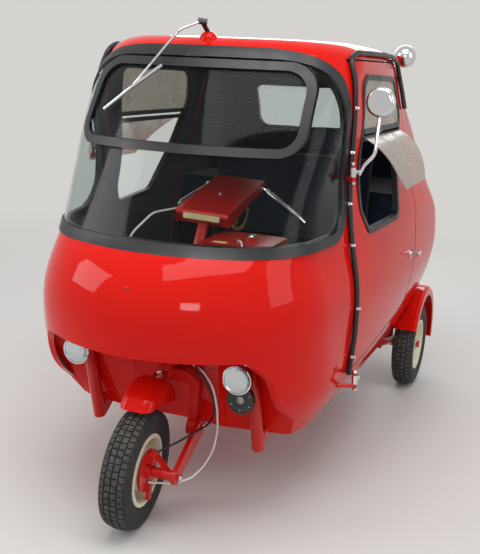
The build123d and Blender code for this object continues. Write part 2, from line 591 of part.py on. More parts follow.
def hinge_eye(pin):
    """The eye on the pin and its bent arm, which passes outside the rubber to the door."""
    lean = Vector(*[a - b for a, b in zip(HINGE_TOP, HINGE_BOTTOM)]).normalized()
    centre = Vector(*pin)
    eye = rod(centre - lean * HINGE_EYE_HEIGHT / 2, centre + lean * HINGE_EYE_HEIGHT / 2, HINGE_EYE_RADIUS)
    foot_y = DOOR_FRONT_Y + HINGE_FOOT
    knee_x = max(pin[0] + 8, surface_x(SEAL_FRONT_Y, pin[2]) + SEAL_OUT + SEAL_RADIUS + 9)
    arm = bent_tube([pin, (knee_x, SEAL_FRONT_Y - 2, pin[2]), (surface_x(foot_y, pin[2]) - 8, foot_y, pin[2])],
                    [16], HINGE_ARM_RADIUS)
    bore = rod(centre - lean * 60, centre + lean * 60, HINGE_PIN_RADIUS + BORE_CLEARANCE)
    return biggest(eye.fuse(arm).cut(bore).cut(side_touch))


def door_handle():
    """A chrome turn handle: a round foot, a neck and a lever that points back."""
    y, z = HANDLE_PLACE
    x = surface_x(y, z)
    foot = rod((x - 6, y, z), (x + 6, y, z), 19)
    neck = rod((x, y, z), (x + 34, y, z), 9)
    lever = bent_tube([(x + 32, y - 14, z), (x + 34, y + 30, z), (x + 24, y + 92, z - 6)], [40], 7.5)
    return biggest(foot.fuse(neck).fuse(lever).cut(side_touch))


def doors():
    """Both doors with their windows, rubbers, bars, flaps, handles and hinge eyes."""
    panel = biggest((left_wall & door_cut).solid().cut(window_cut))
    heights = [740.0, 830.0, 890.0, 980.0, 1154.0, 1300.0, 1400.0, 1440.0]
    rubber = biggest(side_wall(heights, -4.0, SKIN) & window_cut).cut(window_glass_cut)
    thin = biggest(side_wall(heights, 0.0, SCREEN_THICKNESS) & window_glass_cut)
    upper = biggest(thin & box_between((0, 500, BAR_HIGH_Z[1]), (900, 1500, 1600)))
    thick = biggest(side_wall(heights, -BAR_PROUD, 8.0) & window_glass_cut)
    bars = [biggest(thick & box_between((0, 500, low), (900, 1500, high))) for low, high in (BAR_LOW_Z, BAR_HIGH_Z)]
    pieces = {
        "door": [panel],
        "door_window": [upper, biggest(flap().cut(bars[0]))],
        "door_trim": [biggest(rubber)] + bars,
        "door_fittings": [door_handle()] + [hinge_eye(pin) for pin in HINGES],
    }
    for name, solids in pieces.items():
        keep(name + "_left", *solids)
        keep(name + "_right", *[mirrored(s) for s in solids])
    carriers = (ALL_NODES["nose_cowl"][0], ALL_NODES["windscreen_seal"][0])
    pins = [biggest(hinge_fixed(pin, root_y).cut(*carriers)) for pin, root_y in zip(HINGES, HINGE_ROOT_YS)]
    keep("door_hinges", *pins, *[mirrored(s) for s in pins])


SEAL_LINE = [(SEAL_FRONT_Y, 404.0), (SEAL_FRONT_Y, 560.0), (SEAL_FRONT_Y, 715.0), (SEAL_FRONT_Y, 850.0),
             (SEAL_FRONT_Y, 960.0), (SEAL_FRONT_Y, 1080.0), (SEAL_FRONT_Y, 1230.0), (SEAL_FRONT_Y, 1370.0),
             (SEAL_FRONT_Y + 12, 1438.0), (628.0, 1461.0), (800.0, 1463.0), (990.0, 1464.0), (1180.0, 1460.0),
             (1300.0, 1440.0), (1358.0, 1392.0), (1367.0, 1330.0), (1365.0, 1262.0)]
SEAL_TOP_OUT = 6.0


def door_seals():
    """The round black rubber along the front, top and upper rear of each door opening."""
    points = [(surface_x(y, z) + SEAL_OUT + SEAL_TOP_OUT * (z > 1435), y, z) for y, z in SEAL_LINE]
    line = soft_tube(points, SEAL_RADIUS, 3000.0)
    carriers = [ALL_NODES[name][0] for name in ("nose_cowl", "roof_panel", "flank_left", "windscreen_seal")]
    seal = biggest(line.cut(*carriers, *ALL_NODES["door_hinges"][:1]))
    keep("door_seals", seal, mirrored(seal))


def chin_and_floor():
    """The concave wall behind the front wheel, the floor, and the bulkhead and shelf behind the seat."""
    inside = form_solid(WALL_HEIGHTS[:9], SKIN / 2)
    walls = [ALL_NODES[name][0] for name in ("nose_cowl", "flank_left", "flank_right")]
    top_z, bottom_z = 575.0, GROUND_CLEARANCE
    rows = ((bottom_z, 352.0, (296.0, 328.0), (158.0, 304.0), 318.0),
            (top_z, 82.0, (296.0, 200.0), (158.0, 238.0), 292.0))
    wires = []
    for z, end_y, via, knee, middle_y in rows:
        left = [((-412.0, end_y), (-via[0], via[1]), (-knee[0], knee[1])),
                ((-knee[0], knee[1]), (0.0, middle_y), knee),
                (knee, via, (412.0, end_y))]
        fore = [[(x, y, z) for x, y in piece] for piece in left]
        back = [[(x, y + SKIN, z) for x, y in reversed(piece)] for piece in reversed(left)]
        edges = [Edge.make_three_point_arc(*piece) for piece in fore]
        edges.append(Edge.make_line(fore[-1][2], back[0][0]))
        edges += [Edge.make_three_point_arc(*piece) for piece in back]
        edges.append(Edge.make_line(back[-1][2], fore[0][0]))
        wires.append(Wire(edges))
    face = Solid.make_loft(wires, ruled=True)
    shelf = box_between((-420, -100, top_z), (420, 250, top_z + 12)).fuse(
        box_between((-158, 240, top_z), (158, 309, top_z + 12)))
    pocket = box_between((-62, 270, 388), (62, 372, top_z + 12)).cut(box_between((-54, 180, 398), (54, 364, top_z)))
    pocket_room = box_between((-62, 270, 388), (62, 372, top_z + 12))
    wall_piece = face.fuse(shelf).cut(pocket_room, box_between((-54, 180, 398), (54, 300, top_z))).fuse(pocket)
    hole = rod(on_steer_axis(0), on_steer_axis(300), HEAD_TUBE_RADIUS + 2)
    chin = biggest((biggest(wall_piece.cut(hole)) & inside).solid().cut(walls[0]))
    keep("chin_wall", chin)
    slab = side_prism([(150.0, 300.0), (560.0, 314.0), (1400.0, 428.24), (1400.0, 428.24 + FLOOR_THICKNESS),
                       (560.0, 314.0 + FLOOR_THICKNESS), (150.0, 300.0 + FLOOR_THICKNESS)], [0] * 6, -REACH, REACH)
    bulkhead = box_between((-600, 1388, 425), (600, 1400, 912))
    bulkhead = bulkhead.cut(side_prism([(1300.0, 414.6), (1500.0, 441.8), (1500, 300), (1300, 300)], [0] * 4,
                                       -REACH, REACH))
    ledge = box_between((-600, 1400, 900), (600, 2000, 912))
    floor = biggest(biggest(biggest(slab & inside).cut(*walls)).cut(chin))
    keep("floor_pan", floor)
    partition = biggest(bulkhead.fuse(ledge) & inside)
    keep("bulkhead", biggest(partition.cut(floor, *walls[1:], ALL_NODES["tail_panel"][0])))


def cabin():
    """Seat base, cushion, back and the red cabinet beside the steering column."""
    base = box_between((-350, 980, 410), (350, 1340, 560)).cut(box_between((-335, 995, 300), (335, 1325, 545)))
    slope = side_prism([(560.0, 326.3), (1400.0, 440.54), (1400, 200), (560, 200)], [0] * 4, -REACH, REACH)
    keep("seat_base", biggest(base.fuse(box_between((-350, 980, 380), (350, 995, 420))).cut(slope)))
    cushion = box_between((-372, 930, 560.3), (372, 1322, 668))
    keep("seat_cushion", cushion.fillet(28, cushion.edges().filter_by(Axis.Y)))
    back = side_prism([(1308.0, 668.6), (1387.4, 668.6), (1387.4, 1080.0), (1350.0, 1080.0)],
                      [10, 0, 14, 14], -372, 372)
    keep("seat_back", back)
    cabinet = box_between((60, 300, 314), (285, 520, 855))
    cabinet = cabinet.fillet(16, cabinet.edges().filter_by(Axis.Z))
    cap = rod((200, 400, 855), (200, 400, 869), 17)
    slope = side_prism([(150.0, 312.3), (560.0, 326.3), (560, 200), (150, 200)], [0] * 4, -REACH, REACH)
    keep("front_cabinet", biggest(cabinet.fuse(cap).cut(slope, ALL_NODES["chin_wall"][0])))


HANDLEBAR_Y = 850.0
HANDLEBAR_Z = 966.0
HANDLEBAR_RADIUS = 11.0
GRIP_RADIUS = 15.0


def steering():
    """Head bearing on the body; column, nacelle, bar, fork leg, swing arm, brake plate and guard that turn."""
    tube_piece = tube(on_steer_axis(HEAD_TUBE_BOTTOM), on_steer_axis(HEAD_TUBE_TOP), HEAD_TUBE_RADIUS,
                      COLUMN_RADIUS + BORE_CLEARANCE)
    plate = box_between((-75, 250, 587), (59.5, 385, 593)).cut(
        rod(on_steer_axis(0), on_steer_axis(300), HEAD_TUBE_RADIUS - 2))
    keep("steering_head", biggest(tube_piece.fuse(plate)))

    column = rod(on_steer_axis(-20), on_steer_axis(COLUMN_TOP), COLUMN_RADIUS)
    keep("steering_column", steered(column))

    profile = [(424.0, 926.0), (868.0, 992.0), (874.0, 958.0), (700.0, 930.0), (440.0, 876.0)]
    hollow = [(427.5, 923.2), (866.0, 988.4), (871.0, 940.0), (700.0, 800.0), (443.0, 800.0)]
    nacelle = side_prism(profile, [16, 5, 3, 60, 12], -92, 92)
    nacelle = nacelle.cut(side_prism(hollow, [13, 3, 0, 0, 0], -89, 89))
    web = biggest(box_between((-89.5, 462, 880), (89.5, 500, 960)) & side_prism(profile, [16, 5, 3, 60, 12], -92, 92))
    nacelle = nacelle.fuse(web).cut(rod(on_steer_axis(300), on_steer_axis(COLUMN_TOP), COLUMN_RADIUS))
    grip_path = [(-244, 902, 852), (-176, 868, 908), (-96, HANDLEBAR_Y, HANDLEBAR_Z), (96, HANDLEBAR_Y, HANDLEBAR_Z),
                 (176, 868, 908), (244, 902, 852)]
    bar = bent_tube(grip_path, [60, 45, 45, 60], HANDLEBAR_RADIUS)
    nacelle = biggest(nacelle.cut(bar))
    keep("instrument_nacelle", steered(nacelle))
    dials = []
    for y in (560.0, 660.0):
        top = 926.0 + (y - 424.0) * 66.0 / 444.0 - 5.5
        dials.append(rod((38, y, top - 46), (38, y, top - 0.5), 27))
    pieces = [bar]
    for side in (1, -1):
        grip = rod((side * 250, 905, 847), (side * 182, 871, 903), GRIP_RADIUS).cut(bar)
        pieces.append(biggest(grip))
    levers = []
    for side in (1, -1):
        mount = rod((side * 118, HANDLEBAR_Y - 26, 960), (side * 118, HANDLEBAR_Y + 4, 956), 8).cut(bar)
        lever = bent_tube([(side * 112, HANDLEBAR_Y - 24, 960), (side * 150, 828, 934), (side * 236, 862, 872)], [30], 5)
        levers.append(biggest(lever.fuse(mount).cut(bar)))
    keep("handlebar", *[steered(s) for s in pieces])
    keep("levers", *[steered(s) for s in levers + [dial.cut(nacelle, bar).solid() for dial in dials]])

    crown = rod(on_steer_axis(-24), on_steer_axis(HEAD_TUBE_BOTTOM - 0.5), 34)
    bridge = front_prism([(-30, 418), (-30, 452), (70, 458), (122, 430), (122, 262), (94, 262), (94, 405),
                          (60, 420)], [8, 8, 20, 34, 0, 0, 14, 20], 180, 230)
    lug = box_between((-18, 128, 432), (18, 215, 447))
    leg_round = side_prism([(190.0, 470.0), (226.0, 470.0), (224.0, 262.0), (180.0, 262.0)], [0] * 4, -60, 140)
    fork = crown.fuse(biggest(bridge & leg_round)).fuse(lug)
    fork = fork.fuse(rod((94, 200, 275), (122, 200, 275), 34)).cut(rod((60, 200, 275), (160, 200, 275), 9))
    guard = front_guard()
    fork = biggest(fork.cut(column, guard))
    keep("fork_leg", steered(fork))

    arm_face = make_hull([*CenterArc((200, 275), 33, 0, 360).edges(), *CenterArc((0, TYRE_RADIUS), 25, 0, 360).edges()])
    plane = Plane(origin=(123, 0, 0), x_dir=(0, 1, 0), z_dir=(1, 0, 0))
    arm = extrude(plane * arm_face, amount=15).solid()
    arm = arm.fuse(rod((88, 200, 275), (144, 200, 275), 8.6))
    arm = arm.fuse(rod((-54, 0, TYRE_RADIUS), (146, 0, TYRE_RADIUS), AXLE_RADIUS))
    arm = arm.fuse(rod((54, 0, TYRE_RADIUS), (124, 0, TYRE_RADIUS), 17)).fuse(
        rod((-53, 0, TYRE_RADIUS), (-43, 0, TYRE_RADIUS), 14))
    keep("swing_arm", steered(biggest(arm)))

    plate = rod((36, 0, TYRE_RADIUS), (42, 0, TYRE_RADIUS), DRUM_RADIUS + 2)
    plate = plate.fuse(rod((41, 0, TYRE_RADIUS), (53.8, 0, TYRE_RADIUS), 26))
    plate = plate.fuse(box_between((41, -22, TYRE_RADIUS + 34), (64, 22, TYRE_RADIUS + 62)))
    link = box_between((59.8, -13, -90), (66, 13, 6)).moved(Location((0, 6, TYRE_RADIUS + 52)))
    link = link.rotate(Axis((60, 0, TYRE_RADIUS + 52), (0, 1, 0)), -42)
    lever = box_between((41, -9, TYRE_RADIUS - 96), (54, 9, TYRE_RADIUS - 40))
    plate = plate.fuse(link).fuse(lever)
    plate = plate.cut(rod((0, 0, TYRE_RADIUS), (160, 0, TYRE_RADIUS), AXLE_RADIUS), arm)
    keep("brake_plate", steered(biggest(plate)))
    keep("front_mudguard", steered(guard))


FRONT_GUARD_CENTRE = (62.0, 331.0)
FRONT_GUARD_RADIUS = 131.0
FRONT_GUARD_HALF_WIDTH = 54.0
FRONT_GUARD_SHEET = 3.0


def front_guard():
    """A short helmet guard: a domed half drum, hollow and open below."""
    y, z = FRONT_GUARD_CENTRE
    w, t = FRONT_GUARD_HALF_WIDTH, FRONT_GUARD_SHEET
    chord = side_prism([(-60.0, 396.0), (-60.0, 600.0), (260.0, 600.0), (260.0, 352.0), (150.0, 366.0),
                        (20.0, 400.0)], [0, 0, 0, 0, 60, 60], -100, 100)
    drum = rod((-w, y, z), (w, y, z), FRONT_GUARD_RADIUS)
    drum = drum.fillet(30, drum.edges().filter_by(GeomType.CIRCLE))
    hollow = rod((t - w, y, z), (w - t, y, z), FRONT_GUARD_RADIUS - t)
    hollow = hollow.fillet(27, hollow.edges().filter_by(GeomType.CIRCLE))
    return biggest(biggest(drum & chord).cut(hollow))


def wheels():
    """The turning wheels and what carries the rear ones."""
    centre = (0.0, 0.0, TYRE_RADIUS)
    keep("front_tyre", steered(wheel_tyre(centre)))
    keep("front_rim", steered(wheel_rim(centre, -22.0, -38.0, 31.0, (-17.0, 31.0))))
    for name, side in WHEEL_SIDES:
        place = (side * REAR_WHEEL_X, WHEELBASE, TYRE_RADIUS)
        rim = wheel_rim((0.0, 0.0, 0.0), 4.0, -36.0, 30.0, (-36.0, -4.0))
        rim = rim if side > 0 else mirrored(rim)
        keep(f"rear_tyre_{name}", wheel_tyre(place))
        keep(f"rear_rim_{name}", rim.moved(Location(place)))


ARM_X = 432.0
CROSS_TUBE = (1340.0, 274.0)
RAIL_X = 120.0
RAIL_Z = 296.0
ENGINE_LOW = (-150.0, 1560.0, 311.3)
ENGINE_HIGH = (170.0, 1860.0, 560.0)


def rear_frame():
    """Cross tube, trailing arms with their stub axles, springs and the rails under the engine."""
    y, z = CROSS_TUBE
    frame = rod((-ARM_X - 22, y, z), (ARM_X + 22, y, z), 20)
    for side in (1, -1):
        arm = bent_tube([(side * ARM_X, y, z), (side * ARM_X, 1500, 236), (side * ARM_X, WHEELBASE + 30, TYRE_RADIUS)],
                        [400], 19)
        axle = rod((side * ARM_X, WHEELBASE, TYRE_RADIUS), (side * (REAR_WHEEL_X + 45), WHEELBASE, TYRE_RADIUS),
                   AXLE_RADIUS)
        boss = rod((side * (ARM_X - 22), WHEELBASE, TYRE_RADIUS), (side * (REAR_WHEEL_X - 42), WHEELBASE, TYRE_RADIUS), 24)
        nut = rod((side * (REAR_WHEEL_X + 35), WHEELBASE, TYRE_RADIUS), (side * (REAR_WHEEL_X + 46), WHEELBASE, TYRE_RADIUS), 15)
        spring = rod((side * (ARM_X - 10), 1640, 205), (side * (ARM_X - 30), 1700, 466), 21)
        rail = rod((side * RAIL_X, y, RAIL_Z - 14), (side * RAIL_X, 1900, RAIL_Z), 15)
        hanger = box_between((side * 300 - 30, y - 18, z), (side * 300 + 30, y + 18, 440))
        for piece in (arm, axle, boss, nut, spring, rail, hanger):
            frame = frame.fuse(piece)
    frame = frame.fuse(rod((-ARM_X - 10, 1700, 470), (ARM_X + 10, 1700, 470), 14))
    frame = frame.cut(ALL_NODES["floor_pan"][0], ALL_NODES["bulkhead"][0])
    keep("rear_frame", biggest(frame))
    engine = box_between(ENGINE_LOW, ENGINE_HIGH)
    keep("engine_block", biggest(engine.fillet(24, engine.edges().filter_by(Axis.Y)).cut(ALL_NODES["rear_frame"][0])))
    guard = rear_guard()
    stay = box_between((400, 1690, 436), (470, 1716, 446))
    guard = biggest(guard.fuse(stay).cut(ALL_NODES["rear_frame"][0]))
    keep("rear_mudguards", guard, mirrored(guard))


BAR_RADIUS = 21.0
LAMP_PLACE = (282.0, 113.0, 487.0)
HORN_PLACE = (284.0, 148.0, 412.0)


def lamps_and_trim():
    """Headlamps, horn, nose bars, indicators, tail lamps, mirror, wiper and lid hinges."""
    bars, shells, glasses = [], [], []
    for side in (1, -1):
        bar = bent_tube([(side * 290, 165, 582), (side * 293, 190, 490), (side * 297, 236, 400),
                         (side * 298, 292, 196)], [120, 300], BAR_RADIUS)
        gusset = side_prism([(292, 198), (310, 262), (392, 262), (392, 252), (310, 196)], [0] * 5,
                            side * 298 - 16, side * 298 + 16)
        tie = box_between((side * 298 - 16, 380, 250), (side * 298 + 16, 396, 320))
        bar = bar.fuse(gusset).fuse(tie).cut(ALL_NODES["chin_wall"][0], ALL_NODES["floor_pan"][0])
        bars.append(biggest(bar))
        x, y, z = side * LAMP_PLACE[0], LAMP_PLACE[1], LAMP_PLACE[2]
        case = Solid.revolve(Face(Wire.make_polygon([(0, 0, 0), (44, 0, 0), (48, 0, -4), (48, 0, -14), (44, 0, -20),
                                                     (38, 0, -48), (20, 0, -64), (0, 0, -64)], close=True)),
                             360, Axis((0, 0, 0), (0, 0, 1)))
        bowl = rod((0, 0, 1), (0, 0, -8), 41)
        case = Plane(origin=(x, y, z), x_dir=(1, 0, 0), z_dir=(0, -1, 0)) * case.cut(bowl)
        shells.append(biggest(case.cut(bars[-1])))
        lens = Solid.make_sphere(90).moved(Location((0, 0, -81)))
        lens = biggest(lens & rod((0, 0, -7.5), (0, 0, 12), 40.7))
        glasses.append(biggest(Plane(origin=(x, y, z), x_dir=(1, 0, 0), z_dir=(0, -1, 0)) * lens))
    keep("nose_bars", *bars)
    keep("headlamps", *shells)
    keep("headlamp_glasses", *glasses)

    x, y, z = HORN_PLACE
    disc = rod((x, y, z), (x, y + 10, z), 46).fuse(rod((x, y + 9, z), (x, y + 34, z), 34))
    tab = box_between((x - 8, y + 28, z - 8), (x + 16, y + 84, z + 8))
    keep("horn", biggest(disc.fuse(tab).cut(bars[0], shells[0])))

    domes, tails = [], []
    centre = (436.0, 1400.0, 1466.0)
    ball = Solid.make_sphere(44).moved(Location(centre))
    stem = rod((392, 1378, 1404), centre, 17)
    dome = biggest(ball.fuse(stem).cut(roof_touch, side_touch, tail_touch))
    domes = [dome, mirrored(dome)]
    keep("indicators", *domes)
    for side in (1, -1):
        y = surface_y(400, 660, True)
        lamp = rod((side * 400, y - 70, 660), (side * 400, y + 22, 660), 34)
        tails.append(biggest(lamp.cut(ALL_NODES["tail_panel"][0])))
    keep("tail_lamps", *tails)

    stalk = bent_tube([(498, 557, 1082), (512, 551, 1112), (546, 548, 1150), (548, 560, 1268)], [14, 40], 6)
    bowl = rod((548, 545, 1312), (548, 572, 1312), 46)
    bowl = bowl.fillet(12, [bowl.edges().filter_by(GeomType.CIRCLE).sort_by(Axis.Y)[0]])
    keep("mirror", biggest(bowl.fuse(stalk).fuse(rod((548, 560, 1262), (548, 560, 1290), 8)).cut(
        ALL_NODES["door_fittings_left"][1], rod(HINGE_BOTTOM, HINGE_TOP, HINGE_PIN_RADIUS + 1))))

    bump = Solid.make_sphere(30).moved(Location((0, 452, 1478)))
    post = rod((0, 452, 1500), (-8, 420, 1532), 8)
    block = rod((-22, 414, 1536), (6, 424, 1533), 10)
    arm = bent_tube([(-12, 416, 1534), (-60, 362, 1506), (-200, surface_y(200, 1322, False) - 20, 1322)], [60], 4)
    a = (-105, surface_y(105, 1396, False) - 20, 1396)
    b = (-292, surface_y(292, 1250, False) - 20, 1250)
    blade = bent_tube([a, (-200, surface_y(200, 1322, False) - 20, 1322), b], [400], 6)
    keep("wiper", biggest(bump.fuse(post).fuse(block).cut(ALL_NODES["roof_panel"][0]).fuse(arm).fuse(blade)))


CABLE_RADIUS = 3.5
CABLE_LARGEST_ARC = 90.0
BRAKE_CABLE = [(46, 262, 556), (62, 240, 470), (112, 246, 446), (156, 234, 400), (166, 250, 319), (165, 262, 243),
               (163, 236, 180), (158, 170, 152), (148, 105, 140), (118, 50, 140), (84, 14, 150), (50, 0, 150)]
SPEEDO_CABLE = [(40, 250, 556), (92, 226, 470), (142, 222, 410), (156, 248, 345), (156, 244, 294), (156, 196, 284),
                (152, 117, 292), (118, 70, 272), (56, 12, 238)]
CABIN_CABLE = [(-101, 462, 925), (-124, 330, 925), (-150, 215, 862), (-152, 205, 760), (-150, 200, 580)]


def cables():
    """The white brake cable and the black dial drive down the fork, and the white cable in the cabin."""
    holders = {
        "brake_cable": (BRAKE_CABLE, [ALL_NODES[n][0] for n in ("brake_plate", "fork_leg", "swing_arm")]),
        "speedo_cable": (SPEEDO_CABLE, [ALL_NODES[n][0] for n in ("brake_plate", "fork_leg", "swing_arm")]),
        "cabin_cable": (CABIN_CABLE, [ALL_NODES[n][0] for n in ("chin_wall", "nose_cowl")]),
    }
    for name, (points, neighbours) in holders.items():
        whole = soft_tube(points, CABLE_RADIUS, CABLE_LARGEST_ARC)
        kept = biggest(whole.cut(*neighbours))
        area = pi * CABLE_RADIUS ** 2
        print(name, "whole", round(whole.volume / area), "mm long, kept", round(kept.volume / area), "mm")
        keep(name, kept)


ROOF_TOUCH_HEIGHTS = [1400.0, 1440.0, 1465.0, 1482.0, 1492.0]
side_touch = side_wall(WALL_HEIGHTS, -TOUCH_GAP, SKIN + 4)
tail_touch = wall(WALL_HEIGHTS, -TOUCH_GAP, SKIN + 4, True)
roof_touch = Solid.make_loft([ring_wire(row_at(z), -TOUCH_GAP, z + TOUCH_GAP) for z in ROOF_TOUCH_HEIGHTS])

shell_panels()
screen()
lid_hinges()
rear_window()
doors()
door_seals()
chin_and_floor()
cabin()
steering()
wheels()
rear_frame()
lamps_and_trim()
cables()

os.makedirs("parts", exist_ok=True)
for name, solids in ALL_NODES.items():
    moved = [s.moved(Location((0, FRONT_AXLE_Y, 0))) for s in solids]
    export_step(moved[0] if len(moved) == 1 else Compound(children=moved), f"parts/{name}.step")
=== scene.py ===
"""Looks for a small closed three-wheeled car: paint, glass, rubber, block-tread tyres and cabin lining.

Everything is in the row frame, in metres: +Z up, the nose faces -Y, the car's left side is +X.
"""
from math import cos, pi, radians, sin, sqrt

import bpy
import numpy as np
from mathutils import Matrix, Vector


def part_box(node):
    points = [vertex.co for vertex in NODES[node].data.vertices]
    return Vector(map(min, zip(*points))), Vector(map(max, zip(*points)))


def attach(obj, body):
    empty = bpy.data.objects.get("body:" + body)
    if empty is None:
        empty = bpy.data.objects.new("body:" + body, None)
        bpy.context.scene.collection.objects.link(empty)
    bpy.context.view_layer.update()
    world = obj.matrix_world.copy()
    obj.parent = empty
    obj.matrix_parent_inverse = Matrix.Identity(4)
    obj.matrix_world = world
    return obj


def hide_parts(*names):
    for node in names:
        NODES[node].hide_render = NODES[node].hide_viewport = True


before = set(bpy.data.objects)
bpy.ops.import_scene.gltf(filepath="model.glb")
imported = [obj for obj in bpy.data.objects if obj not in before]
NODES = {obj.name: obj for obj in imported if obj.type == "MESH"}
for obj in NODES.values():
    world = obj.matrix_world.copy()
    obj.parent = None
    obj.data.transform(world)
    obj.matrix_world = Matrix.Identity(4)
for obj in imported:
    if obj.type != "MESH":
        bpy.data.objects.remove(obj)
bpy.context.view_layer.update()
AXLE_Y = -0.942
REAR_WHEEL = (0.512, 0.741, 0.19)
STEER_AT = Vector((0.0, 0.215 + AXLE_Y, 0.437))
STEER_AXIS = Vector((0.0, 0.485, 0.8745)).normalized()
REST = radians(6.0)


def linear(code):
    """An sRGB hex colour as linear values."""
    parts = [int(code[i:i + 2], 16) / 255 for i in (1, 3, 5)]
    return tuple(c / 12.92 if c <= 0.04045 else ((c + 0.055) / 1.055) ** 2.4 for c in parts) + (1.0,)


def new_material(name, colour, roughness=0.5, metallic=0.0, coat=0.0, coat_roughness=0.03, sheen=0.0,
                 transmission=0.0, ior=1.5, alpha=1.0, emission=None, coat_ior=1.5, specular=0.5):
    """A plain Principled material; emission is a colour and a strength."""
    material = bpy.data.materials.new(name)
    material.use_nodes = True
    shader = material.node_tree.nodes["Principled BSDF"]
    values = {"Base Color": linear(colour), "Roughness": roughness, "Metallic": metallic,
              "Coat Weight": coat, "Coat Roughness": coat_roughness, "Coat IOR": coat_ior,
              "Sheen Weight": sheen, "Transmission Weight": transmission, "IOR": ior, "Alpha": alpha,
              "Specular IOR Level": specular}
    if emission:
        values["Emission Color"] = linear(emission[0])
        values["Emission Strength"] = emission[1]
    for key, value in values.items():
        shader.inputs[key].default_value = value
    return material


def nodes_of(material):
    """A material's node tree and its shader."""
    tree = material.node_tree
    return tree, tree.nodes["Principled BSDF"]


def add_noise(tree, scale, detail=2.0, roughness=0.5, stretch=(1, 1, 1)):
    """Noise on Object coordinates, stretched along the axes."""
    place = tree.nodes.new("ShaderNodeTexCoord")
    mapping = tree.nodes.new("ShaderNodeMapping")
    mapping.inputs["Scale"].default_value = stretch
    noise = tree.nodes.new("ShaderNodeTexNoise")
    noise.inputs["Scale"].default_value = scale
    noise.inputs["Detail"].default_value = detail
    noise.inputs["Roughness"].default_value = roughness
    tree.links.new(place.outputs["Object"], mapping.inputs["Vector"])
    tree.links.new(mapping.outputs["Vector"], noise.inputs["Vector"])
    return noise


def vary(material, scale, low, high, detail=3.0, stretch=(1, 1, 1), socket="Roughness"):
    """Lets a value wander between two levels."""
    tree, shader = nodes_of(material)
    noise = add_noise(tree, scale, detail, stretch=stretch)
    spread = tree.nodes.new("ShaderNodeMapRange")
    spread.inputs["From Min"].default_value = 0.3
    spread.inputs["From Max"].default_value = 0.7
    spread.inputs["To Min"].default_value = low
    spread.inputs["To Max"].default_value = high
    tree.links.new(noise.outputs["Fac"], spread.inputs["Value"])
    tree.links.new(spread.outputs["Result"], shader.inputs[socket])


def mottle(material, scale, colour_a, colour_b, detail=4.0, stretch=(1, 1, 1)):
    """Mixes two shades by soft noise."""
    tree, shader = nodes_of(material)
    noise = add_noise(tree, scale, detail, stretch=stretch)
    ramp = tree.nodes.new("ShaderNodeValToRGB")
    ramp.color_ramp.elements[0].position = 0.35
    ramp.color_ramp.elements[0].color = linear(colour_a)
    ramp.color_ramp.elements[1].position = 0.65
    ramp.color_ramp.elements[1].color = linear(colour_b)
    tree.links.new(noise.outputs["Fac"], ramp.inputs["Fac"])
    tree.links.new(ramp.outputs["Color"], shader.inputs["Base Color"])


def bumpy(material, scale, strength, distance, detail=2.0, stretch=(1, 1, 1), coat=False):
    """A fine uneven surface."""
    tree, shader = nodes_of(material)
    noise = add_noise(tree, scale, detail, stretch=stretch)
    bump = tree.nodes.new("ShaderNodeBump")
    bump.inputs["Strength"].default_value = strength
    bump.inputs["Distance"].default_value = distance
    tree.links.new(noise.outputs["Fac"], bump.inputs["Height"])
    tree.links.new(bump.outputs["Normal"], shader.inputs["Coat Normal" if coat else "Normal"])


def flutes(material, pitch, depth):
    """Upright ribs pressed into glass."""
    tree, shader = nodes_of(material)
    place = tree.nodes.new("ShaderNodeTexCoord")
    wave = tree.nodes.new("ShaderNodeTexWave")
    wave.inputs["Scale"].default_value = 1.0 / pitch / 3.18
    wave.inputs["Distortion"].default_value = 0.0
    bump = tree.nodes.new("ShaderNodeBump")
    bump.inputs["Strength"].default_value = 0.5
    bump.inputs["Distance"].default_value = depth
    tree.links.new(place.outputs["Object"], wave.inputs["Vector"])
    tree.links.new(wave.outputs["Fac"], bump.inputs["Height"])
    tree.links.new(bump.outputs["Normal"], shader.inputs["Normal"])


def woven(material, pitch, strength, distance):
    """Two crossed waves that read as a woven or ribbed cloth."""
    tree, shader = nodes_of(material)
    place = tree.nodes.new("ShaderNodeTexCoord")
    total = None
    for turn in ((0.0, 0.0, 0.0), (0.0, radians(90), 0.0), (radians(90), 0.0, radians(90))):
        mapping = tree.nodes.new("ShaderNodeMapping")
        mapping.inputs["Rotation"].default_value = turn
        wave = tree.nodes.new("ShaderNodeTexWave")
        wave.inputs["Scale"].default_value = 1.0 / pitch / 3.18
        wave.inputs["Distortion"].default_value = 0.6
        wave.inputs["Detail"].default_value = 1.0
        tree.links.new(place.outputs["Object"], mapping.inputs["Vector"])
        tree.links.new(mapping.outputs["Vector"], wave.inputs["Vector"])
        if total is None:
            total = wave.outputs["Fac"]
        else:
            add = tree.nodes.new("ShaderNodeMath")
            add.operation = "ADD"
            tree.links.new(total, add.inputs[0])
            tree.links.new(wave.outputs["Fac"], add.inputs[1])
            total = add.outputs["Value"]
    bump = tree.nodes.new("ShaderNodeBump")
    bump.inputs["Strength"].default_value = strength
    bump.inputs["Distance"].default_value = distance
    tree.links.new(total, bump.inputs["Height"])
    tree.links.new(bump.outputs["Normal"], shader.inputs["Normal"])


# Gloss red gelcoat of the moulded body, with the faint ripple that polished moulded plastic has
RED = new_material("red_gelcoat", "#d3150c", 0.5, coat=1.0, coat_roughness=0.03, coat_ior=1.25,
                   specular=0.0)
bumpy(RED, 9.0, 0.12, 0.004, coat=True)
# Brushed-on red enamel of the steel parts
RED_METAL = new_material("red_enamel", "#c4130c", 0.45, coat=1.0, coat_roughness=0.08, coat_ior=1.33,
                         specular=0.2)
bumpy(RED_METAL, 120.0, 0.25, 0.0008)
# Navy carpet cloth glued inside the mouldings
LINING = new_material("navy_carpet", "#1f2b42", 0.95, sheen=0.3)
mottle(LINING, 26.0, "#1b263b", "#28344d")
bumpy(LINING, 900.0, 0.6, 0.0012, detail=4.0)
